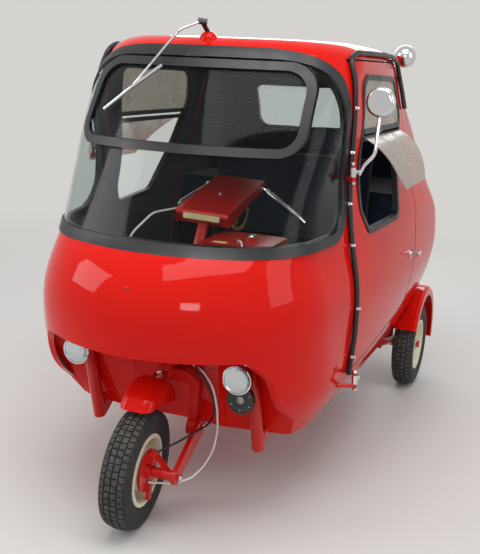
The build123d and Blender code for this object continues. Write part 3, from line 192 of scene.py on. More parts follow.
# Black headliner cloth
HEADLINER = new_material("black_headliner", "#15161a", 0.95, sheen=0.3)
bumpy(HEADLINER, 900.0, 0.5, 0.001, detail=4.0)
# Navy woven seat cloth
SEAT_CLOTH = new_material("navy_seat_cloth", "#1d2940", 0.9, sheen=0.4)
woven(SEAT_CLOTH, 0.004, 0.35, 0.0006)
# Black extruded rubber round the screens and doors
RUBBER = new_material("black_rubber", "#16171a", 0.42)
vary(RUBBER, 18.0, 0.34, 0.5)
# Tyre rubber, dusty in the grooves
TYRE = new_material("tyre_rubber", "#1b1b1c", 0.72)
mottle(TYRE, 40.0, "#161617", "#2a2928")
bumpy(TYRE, 700.0, 0.3, 0.0005)
# Dusty crowns of the tread blocks
TREAD = new_material("worn_tread", "#403e3b", 0.85)
mottle(TREAD, 90.0, "#2f2e2c", "#54514c")
bumpy(TREAD, 600.0, 0.4, 0.0006)
# Cream enamel of the pressed wheels
CREAM = new_material("cream_enamel", "#e6dfc8", 0.3, coat=0.6, coat_roughness=0.08)
vary(CREAM, 30.0, 0.24, 0.4)
# Chromium plate
CHROME = new_material("chrome", "#d9dadd", 0.09, metallic=1.0)
vary(CHROME, 20.0, 0.05, 0.16)
# Galvanised grey steel behind the fork crown
GREY = new_material("grey_steel", "#77797b", 0.45, metallic=0.7)
vary(GREY, 25.0, 0.35, 0.6)
# Black enamelled steel
BLACK = new_material("black_enamel", "#111113", 0.35, coat=0.4, coat_roughness=0.1)
# Cast engine cases, oily
CAST = new_material("cast_case", "#3b3c3d", 0.6, metallic=0.6)
mottle(CAST, 12.0, "#2b2b2c", "#4c4d4e")
bumpy(CAST, 160.0, 0.5, 0.001)
# Clear acrylic sheet, a little grey
ACRYLIC = new_material("clear_acrylic", "#dfe6e4", 0.04, transmission=1.0, ior=1.16)
# Smoky acrylic of the hinged window flaps, scuffed
FLAP = new_material("scuffed_acrylic", "#d3c8bd", 0.22, transmission=0.7, ior=1.25)
vary(FLAP, 14.0, 0.14, 0.34)
# Headlamp glass and silvered bowl
LAMP_GLASS = new_material("lamp_glass", "#eef2f2", 0.03, transmission=1.0, ior=1.3)
flutes(LAMP_GLASS, 0.0052, 0.0009)
SILVER = new_material("silvered_bowl", "#f1f1ee", 0.08, metallic=1.0)
# Red lenses of the tail lamps
RED_LENS = new_material("red_lens", "#a80d0d", 0.12, coat=1.0, emission=("#a80d0d", 0.1))
# Bulb glass and the perforated plate in the horn
BULB = new_material("bulb_glass", "#f7f4e6", 0.1, coat=1.0, emission=("#fff6dc", 0.6))
MESH = new_material("perforated_plate", "#9b9c98", 0.4, metallic=0.8)
# White and black cable covers, yellow wire and pale foam tape
WHITE_COVER = new_material("white_cable_cover", "#e6e4dd", 0.35)
BLACK_COVER = new_material("black_cable_cover", "#17181a", 0.45)
YELLOW = new_material("yellow_wire", "#c9a72d", 0.4)
TAPE = new_material("cream_tape", "#ecd9a4", 0.55)
# Painted shade: a flat near-black for the dark seen through the wheel's cooling slots
PAINTED_SLOT_SHADE = new_material("painted_slot_shade", "#0d0d0d", 0.8)

# The finish of each CAD node
SKIN_BY_NODE = {
    "nose_cowl": RED, "roof_panel": RED, "flank_left": RED, "flank_right": RED, "tail_panel": RED,
    "engine_lid": RED, "door_left": RED, "door_right": RED, "chin_wall": RED, "floor_pan": RED,
    "bulkhead": LINING, "windscreen": ACRYLIC, "screen_pane": ACRYLIC, "rear_window": ACRYLIC,
    "door_window_left": FLAP, "door_window_right": FLAP, "windscreen_seal": RUBBER,
    "screen_pane_seal": RUBBER, "rear_window_seal": RUBBER, "door_trim_left": RUBBER,
    "door_trim_right": RUBBER, "door_seals": RUBBER,
    "door_fittings_left": CHROME, "door_fittings_right": CHROME, "door_hinges": RED_METAL,
    "lid_hinges": CHROME, "seat_base": LINING, "seat_cushion": SEAT_CLOTH, "seat_back": SEAT_CLOTH,
    "front_cabinet": RED_METAL, "steering_head": GREY, "steering_column": RED_METAL,
    "instrument_nacelle": RED_METAL, "handlebar": CHROME, "levers": CHROME, "fork_leg": RED_METAL,
    "swing_arm": RED_METAL, "brake_plate": RED_METAL, "front_mudguard": RED, "front_tyre": TYRE,
    "front_rim": CREAM, "rear_tyre_left": TYRE, "rear_tyre_right": TYRE, "rear_rim_left": CREAM,
    "rear_rim_right": CREAM, "rear_frame": RED_METAL, "engine_block": CAST, "rear_mudguards": RED,
    "nose_bars": RED_METAL, "headlamps": CHROME, "headlamp_glasses": LAMP_GLASS, "horn": BLACK,
    "indicators": CHROME, "tail_lamps": RED_LENS, "mirror": CHROME, "wiper": CHROME,
    "brake_cable": WHITE_COVER, "speedo_cable": BLACK_COVER, "cabin_cable": WHITE_COVER,
}
# The nodes with a lining on their inner faces
LINED = ("nose_cowl", "flank_left", "flank_right", "tail_panel", "door_left", "door_right", "roof_panel",
         "chin_wall", "floor_pan")


# Half the length and the lowest and highest height of the line in the cabin that lined faces look at
CABIN_HALF_LENGTH, CABIN_LOW, CABIN_HIGH = 0.45, 0.75, 1.0
# How squarely a face looks inward, or backward or up, before it is lined
LINED_FROM, FLAT_LINED_FROM = 0.15, 0.3


def face_values(mesh, key):
    """A vector for each face of a mesh, such as its normal or its centre."""
    found = np.zeros(len(mesh.polygons) * 3)
    mesh.polygons.foreach_get(key, found)
    return found.reshape(-1, 3)


def dress(node):
    """Gives a CAD node its finish, and the faces that look into the cabin a lining."""
    mesh = NODES[node].data
    mesh.materials.clear()
    mesh.materials.append(SKIN_BY_NODE[node])
    if node not in LINED:
        return
    mesh.materials.append(HEADLINER if node == "roof_panel" else LINING)
    normals, centres = face_values(mesh, "normal"), face_values(mesh, "center")
    middle = np.column_stack([np.zeros(len(centres)),
                              np.clip(centres[:, 1], -CABIN_HALF_LENGTH, CABIN_HALF_LENGTH),
                              np.clip(centres[:, 2], CABIN_LOW, CABIN_HIGH)])
    outward = centres - middle
    inward = np.einsum("ij,ij->i", normals, outward) < -LINED_FROM * np.linalg.norm(outward, axis=1)
    if node == "chin_wall":
        inward = normals[:, 1] > FLAT_LINED_FROM
    if node == "floor_pan":
        inward = normals[:, 2] > FLAT_LINED_FROM
    mesh.polygons.foreach_set("material_index", inward.astype(np.int32))


def dress_wiper():
    """Red on the wiper's dome, black on its post, chrome on the arm and blade."""
    mesh = NODES["wiper"].data
    mesh.materials.append(RED)
    mesh.materials.append(BLACK)
    centres = face_values(mesh, "center")
    from_dome = np.linalg.norm(centres - np.array([0.0, 0.452 + AXLE_Y, 1.478]), axis=1)
    from_post = np.linalg.norm(centres - np.array([-0.006, 0.424 + AXLE_Y, 1.530]), axis=1)
    index = np.where(from_dome < 0.031, 1, np.where(from_post < 0.028, 2, 0))
    mesh.polygons.foreach_set("material_index", index.astype(np.int32))


for node_name in NODES:
    dress(node_name)
dress_wiper()


def surface(name, grid, material, body, closed=(True, False), flip=False, sharp=35.0):
    """A quad surface from a grid of points, closed round its first or second direction where asked."""
    grid = np.asarray(grid, float)
    rows, columns = grid.shape[:2]
    i = np.arange(rows if closed[0] else rows - 1)[:, None]
    j = np.arange(columns if closed[1] else columns - 1)[None, :]
    next_i, next_j = (i + 1) % rows, (j + 1) % columns
    corners = [i * columns + j, i * columns + next_j, next_i * columns + next_j, next_i * columns + j]
    quads = np.stack([np.broadcast_to(c, (len(i), j.shape[1])) for c in corners], axis=-1).reshape(-1, 4)
    if flip:
        quads = quads[:, ::-1]
    return solid_mesh(name, grid.reshape(-1, 3), quads.tolist(), material, body, sharp)


def solid_mesh(name, points, faces, material, body, sharp=35.0):
    """A new piece from points and faces, riding on a body."""
    mesh = bpy.data.meshes.new(name)
    mesh.from_pydata(np.asarray(points).tolist(), [], faces)
    mesh.update()
    mesh.polygons.foreach_set("use_smooth", np.ones(len(mesh.polygons), bool))
    mesh.set_sharp_from_angle(angle=radians(sharp))
    made = bpy.data.objects.new(name, mesh)
    bpy.context.scene.collection.objects.link(made)
    for one in material if isinstance(material, (list, tuple)) else [material]:
        mesh.materials.append(one)
    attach(made, body)
    return made


def turned(points):
    """Turns points of the front fork, given straight ahead, to the angle at which the car stands."""
    spin = np.array(Matrix.Rotation(REST, 3, STEER_AXIS))
    at = np.array(STEER_AT)
    return (np.asarray(points, float) - at) @ spin.T + at


def frame_of(direction):
    """Three unit vectors, the last along the direction."""
    last = np.asarray(direction, float) / np.linalg.norm(direction)
    first = np.cross(last, (0.0, 0.0, 1.0) if abs(last[2]) < 0.9 else (1.0, 0.0, 0.0))
    first /= np.linalg.norm(first)
    return first, np.cross(last, first), last


def revolved(name, profile, centre, direction, material, body, steps=48, steer=False, sharp=35.0):
    """A profile of (radius, along) points turned round a line.

    p = c + along d + radius (cos a u + sin a v), with u, v and d at right angles.
    """
    u, v, d = frame_of(direction)
    angles = np.linspace(0, 2 * pi, steps, endpoint=False)
    ring = np.cos(angles)[:, None] * u + np.sin(angles)[:, None] * v
    grid = np.array([np.asarray(centre) + along * d + radius * ring for radius, along in profile])
    if steer:
        grid = turned(grid.reshape(-1, 3)).reshape(grid.shape)
    points = grid.reshape(-1, 3)
    faces = []
    for row in range(len(profile) - 1):
        for k in range(steps):
            n = (k + 1) % steps
            faces.append((row * steps + k, row * steps + n, (row + 1) * steps + n, (row + 1) * steps + k))
    faces.append(tuple(range(steps))[::-1])
    faces.append(tuple((len(profile) - 1) * steps + k for k in range(steps)))
    return solid_mesh(name, points, faces, material, body, sharp)


def tube_along(name, points, radius, material, body, steps=10, samples=8, steer=False):
    """A round cord on a Catmull-Rom line through the points, its ring kept square to the line."""
    p = np.asarray(points, float)
    p = np.vstack([2 * p[0] - p[1], p, 2 * p[-1] - p[-2]])
    line = []
    for k in range(1, len(p) - 2):
        t = np.linspace(0, 1, samples, endpoint=False)[:, None]
        a, b, c, d = p[k - 1], p[k], p[k + 1], p[k + 2]
        line.append(0.5 * (2 * b + (c - a) * t + (2 * a - 5 * b + 4 * c - d) * t ** 2
                           + (3 * b - a - 3 * c + d) * t ** 3))
    line = np.vstack(line + [p[-2][None]])
    if steer:
        line = turned(line)
    ahead = np.gradient(line, axis=0)
    ahead /= np.linalg.norm(ahead, axis=1)[:, None]
    side = frame_of(ahead[0])[0]
    angles = np.linspace(0, 2 * pi, steps, endpoint=False)
    rings = []
    for here, way in zip(line, ahead):
        side = side - way * (side @ way)
        side /= np.linalg.norm(side)
        up = np.cross(way, side)
        rings.append(here + radius * (np.cos(angles)[:, None] * side + np.sin(angles)[:, None] * up))
    rings = np.array(rings)
    points = rings.reshape(-1, 3)
    faces = []
    for row in range(len(rings) - 1):
        for k in range(steps):
            n = (k + 1) % steps
            faces.append((row * steps + k, row * steps + n, (row + 1) * steps + n, (row + 1) * steps + k))
    faces.append(tuple(range(steps))[::-1])
    faces.append(tuple((len(rings) - 1) * steps + k for k in range(steps)))
    return solid_mesh(name, points, faces, material, body, 50.0)


# Tyres
PITCHES = 56
TREAD_DEPTH = 0.0042
TYRE_R, SHOULDER_R, SIDE_X, CROWN_X, BEAD_X = 0.190, 0.181, 0.047, 0.039, 0.0365
BLOCK_EDGES = [0.0368, 0.0224, 0.0217, 0.0187, 0.0180, 0.0022, 0.0015]
PHASES = [0.0, 0.025, 0.155, 0.18, 0.5, 0.525, 0.655, 0.68]


def crown_radius(x):
    """The crown's arc: r = 190 mm - (R - sqrt(R2 - x2)), with R such that r = 181 mm at x = 39 mm."""
    drop = TYRE_R - SHOULDER_R
    arc = (CROWN_X ** 2 + drop ** 2) / (2 * drop)
    return TYRE_R - (arc - sqrt(arc ** 2 - x ** 2))


def tyre(side_name, node, centre, body, steer=False):
    """A block tread cut into the crown: four staggered rows, r = crown(x) - depth x groove(x, angle)."""
    crown = BLOCK_EDGES + [-x for x in reversed(BLOCK_EDGES)]
    in_groove = [False, False, True, True, False, False, True, True, False, False, True, True, False, False]
    row = [0, 0, None, None, 1, 1, None, None, 1, 1, None, None, 0, 0]
    angles, phases = [], []
    for k in range(PITCHES):
        for phase in PHASES:
            angles.append((k + phase) / PITCHES * 2 * pi)
            phases.append(phase)
    cut_shoulder = np.array([0.02 < phase < 0.16 for phase in phases])
    cut_centre = np.array([0.52 < phase < 0.66 for phase in phases])
    columns, tops = [], []
    plain = np.zeros(len(angles), bool)

    def column(x, radius, depth=0.0, cut=plain, top=False):
        columns.append((np.full(len(angles), x), radius - depth * cut))
        tops.append(top)

    def sidewall(sign):
        rows = []
        for t in np.linspace(0.06, 1.0, 13):
            bulge = 1 - (2 * t - 1) ** 2
            x = CROWN_X + (BEAD_X - CROWN_X) * t + (SIDE_X - (CROWN_X + BEAD_X) / 2) * bulge
            radius = SHOULDER_R + (0.115 - SHOULDER_R) * t
            if 0.36 < t < 0.44:
                x -= 0.0008
            rows.append((sign * x, radius))
        rows.append((sign * BEAD_X, 0.1045))
        return rows

    left = sidewall(1)
    for x, radius in reversed(left[2:]):
        column(x, radius)
    column(left[1][0], left[1][1])
    column(left[0][0], left[0][1], 0.0016, cut_shoulder)
    column(CROWN_X, SHOULDER_R, 0.0026, cut_shoulder)
    for x, groove, lane in zip(crown, in_groove, row):
        if groove:
            column(x, crown_radius(x), TREAD_DEPTH, ~plain)
        else:
            column(x, crown_radius(x), TREAD_DEPTH, cut_shoulder if lane == 0 else cut_centre, True)
    right_side = sidewall(-1)
    column(-CROWN_X, SHOULDER_R, 0.0026, cut_shoulder)
    column(right_side[0][0], right_side[0][1], 0.0016, cut_shoulder)
    for x, radius in right_side[1:]:
        column(x, radius)
    xs = np.array([c[0] for c in columns]).T
    radii = np.array([c[1] for c in columns]).T
    turns = np.array(angles)[:, None]
    grid = np.stack([xs, np.cos(turns) * radii, np.sin(turns) * radii], axis=-1) + np.array(centre)
    if steer:
        grid = turned(grid.reshape(-1, 3)).reshape(grid.shape)
    made = surface("tyre_" + side_name, grid, [TYRE, TREAD], body, (True, True), True, 28.0)
    crown_zone = np.zeros(len(tops), bool)
    for k in range(len(tops) - 1):
        crown_zone[k] = tops[k] and tops[k + 1] and (xs[0, k] - xs[0, k + 1]) > 0.005
    raised = np.ones((len(angles), len(tops)), bool)
    for k, phase in enumerate(phases):
        following = phases[(k + 1) % len(phases)]
        for m in range(len(tops)):
            lane_cut = cut_shoulder if abs(xs[0, m]) > 0.02 else cut_centre
            raised[k, m] = not (lane_cut[k] or lane_cut[(k + 1) % len(phases)])
    index = (raised & crown_zone[None, :]).astype(np.int32).reshape(-1)
    made.data.polygons.foreach_set("material_index", index)
    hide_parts(node)
    return made


tyre("front", "front_tyre", (0.0, AXLE_Y, TYRE_R), "front_wheel", True)
tyre("rear_left", "rear_tyre_left", REAR_WHEEL, "rear_wheel_left")
tyre("rear_right", "rear_tyre_right", (-REAR_WHEEL[0], *REAR_WHEEL[1:]), "rear_wheel_right")


def st(x, y, z):
    """A point given in millimetres behind the front axle, in the row frame."""
    return (x / 1000, y / 1000 + AXLE_Y, z / 1000)


# The headlamps' silvered bowls and bulbs
BOWL_RADIUS, BOWL_DEPTH, BOWL_RISE = 0.0395, 0.0430, 0.0360
BULB_RADIUS, BULB_AT = 0.0075, 0.0275


def headlamps():
    """Chrome cases with a silvered bowl and a bulb: the bowl's r = 39.5 mm sqrt(rise / 36 mm)."""
    low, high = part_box("headlamps")
    middle_x, face_y = (high.x - 0.048), low.y
    middle_z = (low.z + high.z) / 2
    for name, side in (("left", 1), ("right", -1)):
        centre = (side * middle_x, face_y, middle_z)
        case = [(0.0405, 0.0072), (0.0420, 0.0012), (0.0445, 0.0002), (0.0472, 0.0022), (0.0478, 0.0052),
                (0.0474, 0.0105), (0.0450, 0.0125), (0.0446, 0.0165), (0.0438, 0.0200), (0.0405, 0.0360),
                (0.0340, 0.0510), (0.0220, 0.0610), (0.0080, 0.0635), (0.0008, 0.0638)]
        revolved("lamp_case_" + name, case, centre, (0, 1, 0), CHROME, "body", 64)
        bowl = [(0.0008, BOWL_DEPTH)]
        bowl += [(BOWL_RADIUS * sqrt(t), BOWL_DEPTH - BOWL_RISE * t) for t in np.linspace(0.03, 1, 12)]
        bowl += [(0.0403, 0.0070), (0.0403, 0.0440), (0.0008, 0.0441)]
        revolved("lamp_bowl_" + name, bowl, centre, (0, 1, 0), SILVER, "body", 64)
        bulb = [(0.0006, BULB_AT - BULB_RADIUS)]
        bulb += [(BULB_RADIUS * sin(a), BULB_AT - BULB_RADIUS * cos(a)) for a in np.linspace(0.3, 2.4, 9)]
        bulb += [(0.0050, 0.0400), (0.0006, 0.0401)]
        revolved("lamp_bulb_" + name, bulb, centre, (0, 1, 0), BULB, "body", 24)
    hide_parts("headlamps")


def horn_face():
    """The horn's rim bead, perforated middle and rim screws on the black disc."""
    low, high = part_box("horn")
    centre = np.array([low.x + 0.046, low.y, low.z + 0.046])
    bead = [(0.0390, 0.0001), (0.0392, -0.0022), (0.0420, -0.0030), (0.0448, -0.0022), (0.0452, 0.0001)]
    revolved("horn_bead", bead, centre, (0, 1, 0), BLACK, "body", 56)
    dish = [(0.0006, -0.0038), (0.0090, -0.0036), (0.0118, -0.0022), (0.0124, 0.0001)]
    revolved("horn_grille", dish, centre, (0, 1, 0), MESH, "body", 40)
    ring = [(0.0200, 0.0001), (0.0206, -0.0014), (0.0222, -0.0014), (0.0228, 0.0001)]
    revolved("horn_ring", ring, centre, (0, 1, 0), BLACK, "body", 56)
    for k in range(6):
        a = radians(30 + 60 * k)
        place = centre + np.array([0.0345 * cos(a), 0.0, 0.0345 * sin(a)])
        screw = [(0.0005, -0.0020), (0.0018, -0.0018), (0.0026, -0.0006), (0.0027, 0.0001)]
        revolved(f"horn_screw_{k}", screw, place, (0, 1, 0), CHROME, "body", 14)


def nut(name, place, direction, radius, height, body, steer=False):
    """A hexagonal nut with a domed top."""
    u, v, d = frame_of(direction)
    points, faces = [], []
    for along, size in ((0.0, 1.0), (height * 0.62, 1.0), (height * 0.72, 0.86)):
        for k in range(6):
            a = k * pi / 3
            points.append(np.asarray(place) + along * d + radius * size * (cos(a) * u + sin(a) * v))
    steps = 6
    for row in range(2):
        for k in range(steps):
            n = (k + 1) % steps
            faces.append((row * 6 + k, row * 6 + n, row * 6 + 6 + n, row * 6 + 6 + k))
    faces.append(tuple(range(6))[::-1])
    faces.append(tuple(range(12, 18)))
    points = np.array(points)
    if steer:
        points = turned(points)
    made = solid_mesh(name, points, faces, CHROME, body, 25.0)
    dome = [(radius * 0.62, height * 0.70), (radius * 0.55, height * 0.9), (radius * 0.3, height),
            (0.0004, height * 1.03)]
    revolved(name + "_dome", dome, place, direction, CHROME, body, 20, steer)
    return made


CUSHION_VOXEL, CUSHION_PRESSURE, CUSHION_FRAMES, INSIDE_BOX = 0.009, 4.0, 20, 0.0006


def cushion(name, node, shrink, cap):
    """A padded cushion: the CAD block a little smaller, swollen by the cloth solver, never past its cap."""
    low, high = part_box(node)
    source = NODES[node].data
    mesh = bpy.data.meshes.new_from_object(NODES[node])
    made = bpy.data.objects.new(name, mesh)
    bpy.context.scene.collection.objects.link(made)
    middle = (low + high) / 2
    size = high - low
    points = np.zeros(len(mesh.vertices) * 3)
    mesh.vertices.foreach_get("co", points)
    points = points.reshape(-1, 3)
    factor = np.array([1 - 2 * shrink / size[k] for k in range(3)])
    points = np.array(middle) + (points - np.array(middle)) * factor
    mesh.vertices.foreach_set("co", points.reshape(-1))
    mesh.materials.clear()
    mesh.materials.append(SEAT_CLOTH)
    remesh = made.modifiers.new("remesh", "REMESH")
    remesh.mode = "VOXEL"
    remesh.voxel_size = CUSHION_VOXEL
    bpy.context.view_layer.objects.active = made
    bpy.context.view_layer.update()
    apply_modifiers(made)
    start = points_of(made)
    cloth = made.modifiers.new("cloth", "CLOTH")
    cloth.settings.use_pressure = True
    cloth.settings.uniform_pressure_force = CUSHION_PRESSURE
    cloth.settings.effector_weights.gravity = 0.0
    cloth.point_cache.frame_start, cloth.point_cache.frame_end = 1, CUSHION_FRAMES
    for number in range(1, CUSHION_FRAMES + 1):
        bpy.context.scene.frame_set(number)
    apply_modifiers(made)
    bpy.context.scene.frame_set(1)
    swollen = points_of(made)
    step = swollen - start
    length = np.linalg.norm(step, axis=1)
    step *= (np.minimum(length, cap) / np.maximum(length, 1e-9))[:, None]
    kept = np.clip(start + step, np.array(low) + INSIDE_BOX, np.array(high) - INSIDE_BOX)
    made.data.vertices.foreach_set("co", kept.reshape(-1))
    made.data.update()
    made.data.polygons.foreach_set("use_smooth", np.ones(len(made.data.polygons), bool))
    finer = made.modifiers.new("finer", "SUBSURF")
    finer.levels = finer.render_levels = 1
    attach(made, "body")
    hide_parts(node)
    return made


def points_of(piece):
    """The places of a mesh's vertices."""
    found = np.zeros(len(piece.data.vertices) * 3)
    piece.data.vertices.foreach_get("co", found)
    return found.reshape(-1, 3)


def apply_modifiers(piece):
    """Makes the modified mesh the piece's own."""
    graph = bpy.context.evaluated_depsgraph_get()
    result = bpy.data.meshes.new_from_object(piece.evaluated_get(graph))
    piece.modifiers.clear()
    piece.data = result


def slab(name, low, high, material, body, steer=False):
    """A small plate with bevelled edges between two corners."""
    points = [(x, y, z) for x in (low[0], high[0]) for y in (low[1], high[1]) for z in (low[2], high[2])]
    faces = [(0, 1, 3, 2), (4, 6, 7, 5), (0, 4, 5, 1), (2, 3, 7, 6), (0, 2, 6, 4), (1, 5, 7, 3)]
    points = np.array(points)
    if steer:
        points = turned(points)
    made = solid_mesh(name, points, faces, material, body, 30.0)
    bevel = made.modifiers.new("edge", "BEVEL")
    bevel.width = 0.25 * min(b - a for a, b in zip(low, high))
    bevel.segments = 2
    return made


HINGE_TOP = np.array(st(484, 530, 1090))
HINGE_BOTTOM = np.array(st(543, 530, 400))
HINGE_NUT, HINGE_NUT_HEIGHT = 0.0085, 0.010
CLIP_Y = 558
# Heights and distances from the middle of the chrome clips on the door rubbers, in millimetres
CLIPS = [(470, 521.0), (640, 526.7), (850, 492.3), (985, 471.8), (1150, 467.6), (1290, 472.1)]


def door_hardware():
    """Nuts on the hinge pins and clips round the door rubbers."""
    lean = (HINGE_TOP - HINGE_BOTTOM) / np.linalg.norm(HINGE_TOP - HINGE_BOTTOM)
    for side_name, side in (("left", 1), ("right", -1)):
        flip = np.array([side, 1, 1])
        for level, centre in (("top", HINGE_TOP), ("bottom", HINGE_BOTTOM)):
            for end, along, way in (("up", 0.0225, lean), ("down", -0.0305, -lean)):
                place = (centre + lean * along) * flip
                nut(f"nut_{level}_{end}_{side_name}", place, way * flip, HINGE_NUT, HINGE_NUT_HEIGHT, "body")
        for number, (z, x) in enumerate(CLIPS):
            place = np.array(st(x, CLIP_Y, z)) * flip
            ring = [(0.0088, -0.0045), (0.0102, -0.0045), (0.0106, -0.002), (0.0106, 0.002),
                    (0.0102, 0.0045), (0.0088, 0.0045)]
            revolved(f"clip_{number}_{side_name}", ring, place, (0, 0, 1), CHROME, "body", 24)
            knob = [(0.0046, 0.009), (0.0044, 0.0125), (0.0028, 0.0142), (0.0004, 0.0147)]
            name = f"clip_knob_{number}_{side_name}"
            revolved(name, knob, place, (side, -0.6, 0), CHROME, "body", 16)


WIRE_RADIUS, HOSE_RADIUS, LEAD_RADIUS = 0.0016, 0.0065, 0.0028


def cabin_details():
    """Cream tape on the instrument housing, wires and hose under it, and the fittings on the cabinet."""
    slab("tape_front", st(-62, 421.6, 900), st(66, 425.0, 919), TAPE, "steering", True)
    nut("nacelle_screw", st(-6, 640, 957.4), (0, -0.147, 0.989), 0.006, 0.005, "steering", True)
    wires = [[(84, 470, 898), (96, 520, 872), (96, 600, 868), (88, 670, 892), (70, 730, 922)],
             [(80, 480, 900), (92, 540, 860), (90, 640, 858), (80, 720, 905)],
             [(70, 470, 896), (84, 500, 880), (86, 560, 884), (60, 620, 905)]]
    for number, points in enumerate(wires):
        line = [st(*p) for p in points]
        tube_along(f"wire_{number}", line, WIRE_RADIUS, YELLOW, "steering", 8, 8, True)
    hose = [(34, 492, 884), (50, 440, 842), (58, 392, 770), (52, 362, 690), (48, 352, 592)]
    tube_along("hose", [st(*p) for p in hose], HOSE_RADIUS, BLACK_COVER, "body", 12, 8)
    slab("cabinet_label", st(96, 318, 854.6), st(142, 336, 856.2), TAPE, "body")
    dome = [(0.0150, 0.0), (0.0148, 0.004), (0.0110, 0.0085), (0.0050, 0.0105), (0.0004, 0.011)]
    revolved("cabinet_knob", dome, st(200, 400, 868.5), (0, 0, 1), CHROME, "body", 32)
    lead = [(176, 340, 855), (186, 320, 868), (200, 310, 866), (206, 303, 848)]
    tube_along("cabinet_lead", [st(*p) for p in lead], LEAD_RADIUS, WHITE_COVER, "body", 10, 8)


def nose_button():
    """The small round plug on the nose."""
    dome = [(0.0085, -0.002), (0.0085, 0.0012), (0.0070, 0.0026), (0.0035, 0.0032), (0.0004, 0.0033)]
    revolved("nose_button", dome, st(0, -56, 771), (0, -1, 0.1), RED_METAL, "body", 32)


def fork_details():
    """The bolt through the guard's lug, the pivot cap and the axle nut."""
    nut("guard_bolt", st(0, 150, 446.5), (0, 0, 1), 0.010, 0.014, "steering", True)
    nut("pivot_nut", st(143.5, 200, 275), (1, 0, 0), 0.012, 0.009, "steering", True)
    nut("axle_nut", st(145.5, 0, 190), (1, 0, 0), 0.011, 0.009, "steering", True)
    nut("far_axle_nut", st(-53.5, 0, 190), (-1, 0, 0), 0.013, 0.010, "steering", True)


WHEEL_NUTS, WHEEL_NUT_CIRCLE, WHEEL_NUT_RADIUS, WHEEL_NUT_HEIGHT = 5, 0.022, 0.0062, 0.006
SLOTS, SLOT_CIRCLE, SLOT_HALF_DEPTH, SLOT_HALF_LENGTH, SLOT_THICKNESS = 8, 0.080, 0.0075, 0.016, 0.0012
NUT_FACE, SLOT_FACE = 0.0295, 0.0092


def rear_hub_details():
    """Five wheel nuts on each rear wheel, and at its eight cooling slots thin dark ovals of painted shade.

    The slots are ovals, p = m + r cos b u + l sin b v, with u outward and v along the rim.
    """
    for side_name, side in (("left", 1), ("right", -1)):
        body = "rear_wheel_" + side_name
        out = np.array([side, 0.0, 0.0])
        for k in range(WHEEL_NUTS):
            a = radians(18 + 72 * k)
            place = np.array([side * (REAR_WHEEL[0] + NUT_FACE), REAR_WHEEL[1] + WHEEL_NUT_CIRCLE * cos(a),
                              REAR_WHEEL[2] + WHEEL_NUT_CIRCLE * sin(a)])
            nut(f"wheel_nut_{k}_{side_name}", place, out, WHEEL_NUT_RADIUS, WHEEL_NUT_HEIGHT, body)
        # Each slot is a thin flat near-black oval sheet on the rim face: painted shade for the dark seen
        # through the slot
        for k in range(SLOTS):
            a = radians(45 * k)
            way = np.array([0.0, cos(a), sin(a)])
            across = np.array([0.0, -sin(a), cos(a)])
            middle = np.array([side * (REAR_WHEEL[0] + SLOT_FACE), REAR_WHEEL[1], REAR_WHEEL[2]])
            middle = middle + SLOT_CIRCLE * way
            outline = [middle + SLOT_HALF_DEPTH * cos(b) * way + SLOT_HALF_LENGTH * sin(b) * across
                       for b in np.linspace(0, 2 * pi, 24)[:-1]]
            back = [p - SLOT_THICKNESS * out for p in outline]
            n = len(outline)
            faces = [tuple(range(n)), tuple(range(n, 2 * n))[::-1]]
            faces += [(i, n + i, n + (i + 1) % n, (i + 1) % n) for i in range(n)]
            if side < 0:
                faces = [f[::-1] for f in faces]
            solid_mesh(f"rim_slot_shade_{k}_{side_name}", outline + back, faces, PAINTED_SLOT_SHADE, body, 30.0)


cushion("cushion_seat", "seat_cushion", 0.014, 0.026)
cushion("cushion_back", "seat_back", 0.010, 0.020)
headlamps()
horn_face()
door_hardware()
cabin_details()
nose_button()
fork_details()
rear_hub_details()


# The camera, fitted to the photograph
CAMERA_AT = Vector((1.17924, -2.14537 + AXLE_Y, 1.4118))
YAW, PITCH, ROLL = radians(21.73), radians(-13.95), radians(-2.55)
forward = Vector((-sin(YAW) * cos(PITCH), cos(YAW) * cos(PITCH), sin(PITCH)))
right = Vector((cos(YAW), sin(YAW), 0.0))
down = forward.cross(right)
right_rolled = cos(ROLL) * right + sin(ROLL) * down
down_rolled = -sin(ROLL) * right + cos(ROLL) * down
camera_data = bpy.data.cameras.new("camera")
camera = bpy.data.objects.new("camera", camera_data)
bpy.context.scene.collection.objects.link(camera)
turn = Matrix((right_rolled, -down_rolled, -forward)).transposed()
camera.matrix_world = Matrix.Translation(CAMERA_AT) @ turn.to_4x4()
camera_data.sensor_width = 36.0
camera_data.sensor_fit = "AUTO"
camera_data.lens = 859.93 * 36.0 / 554.0
camera_data.clip_start = 0.05
camera_data.clip_end = 100.0
bpy.context.scene.camera = camera


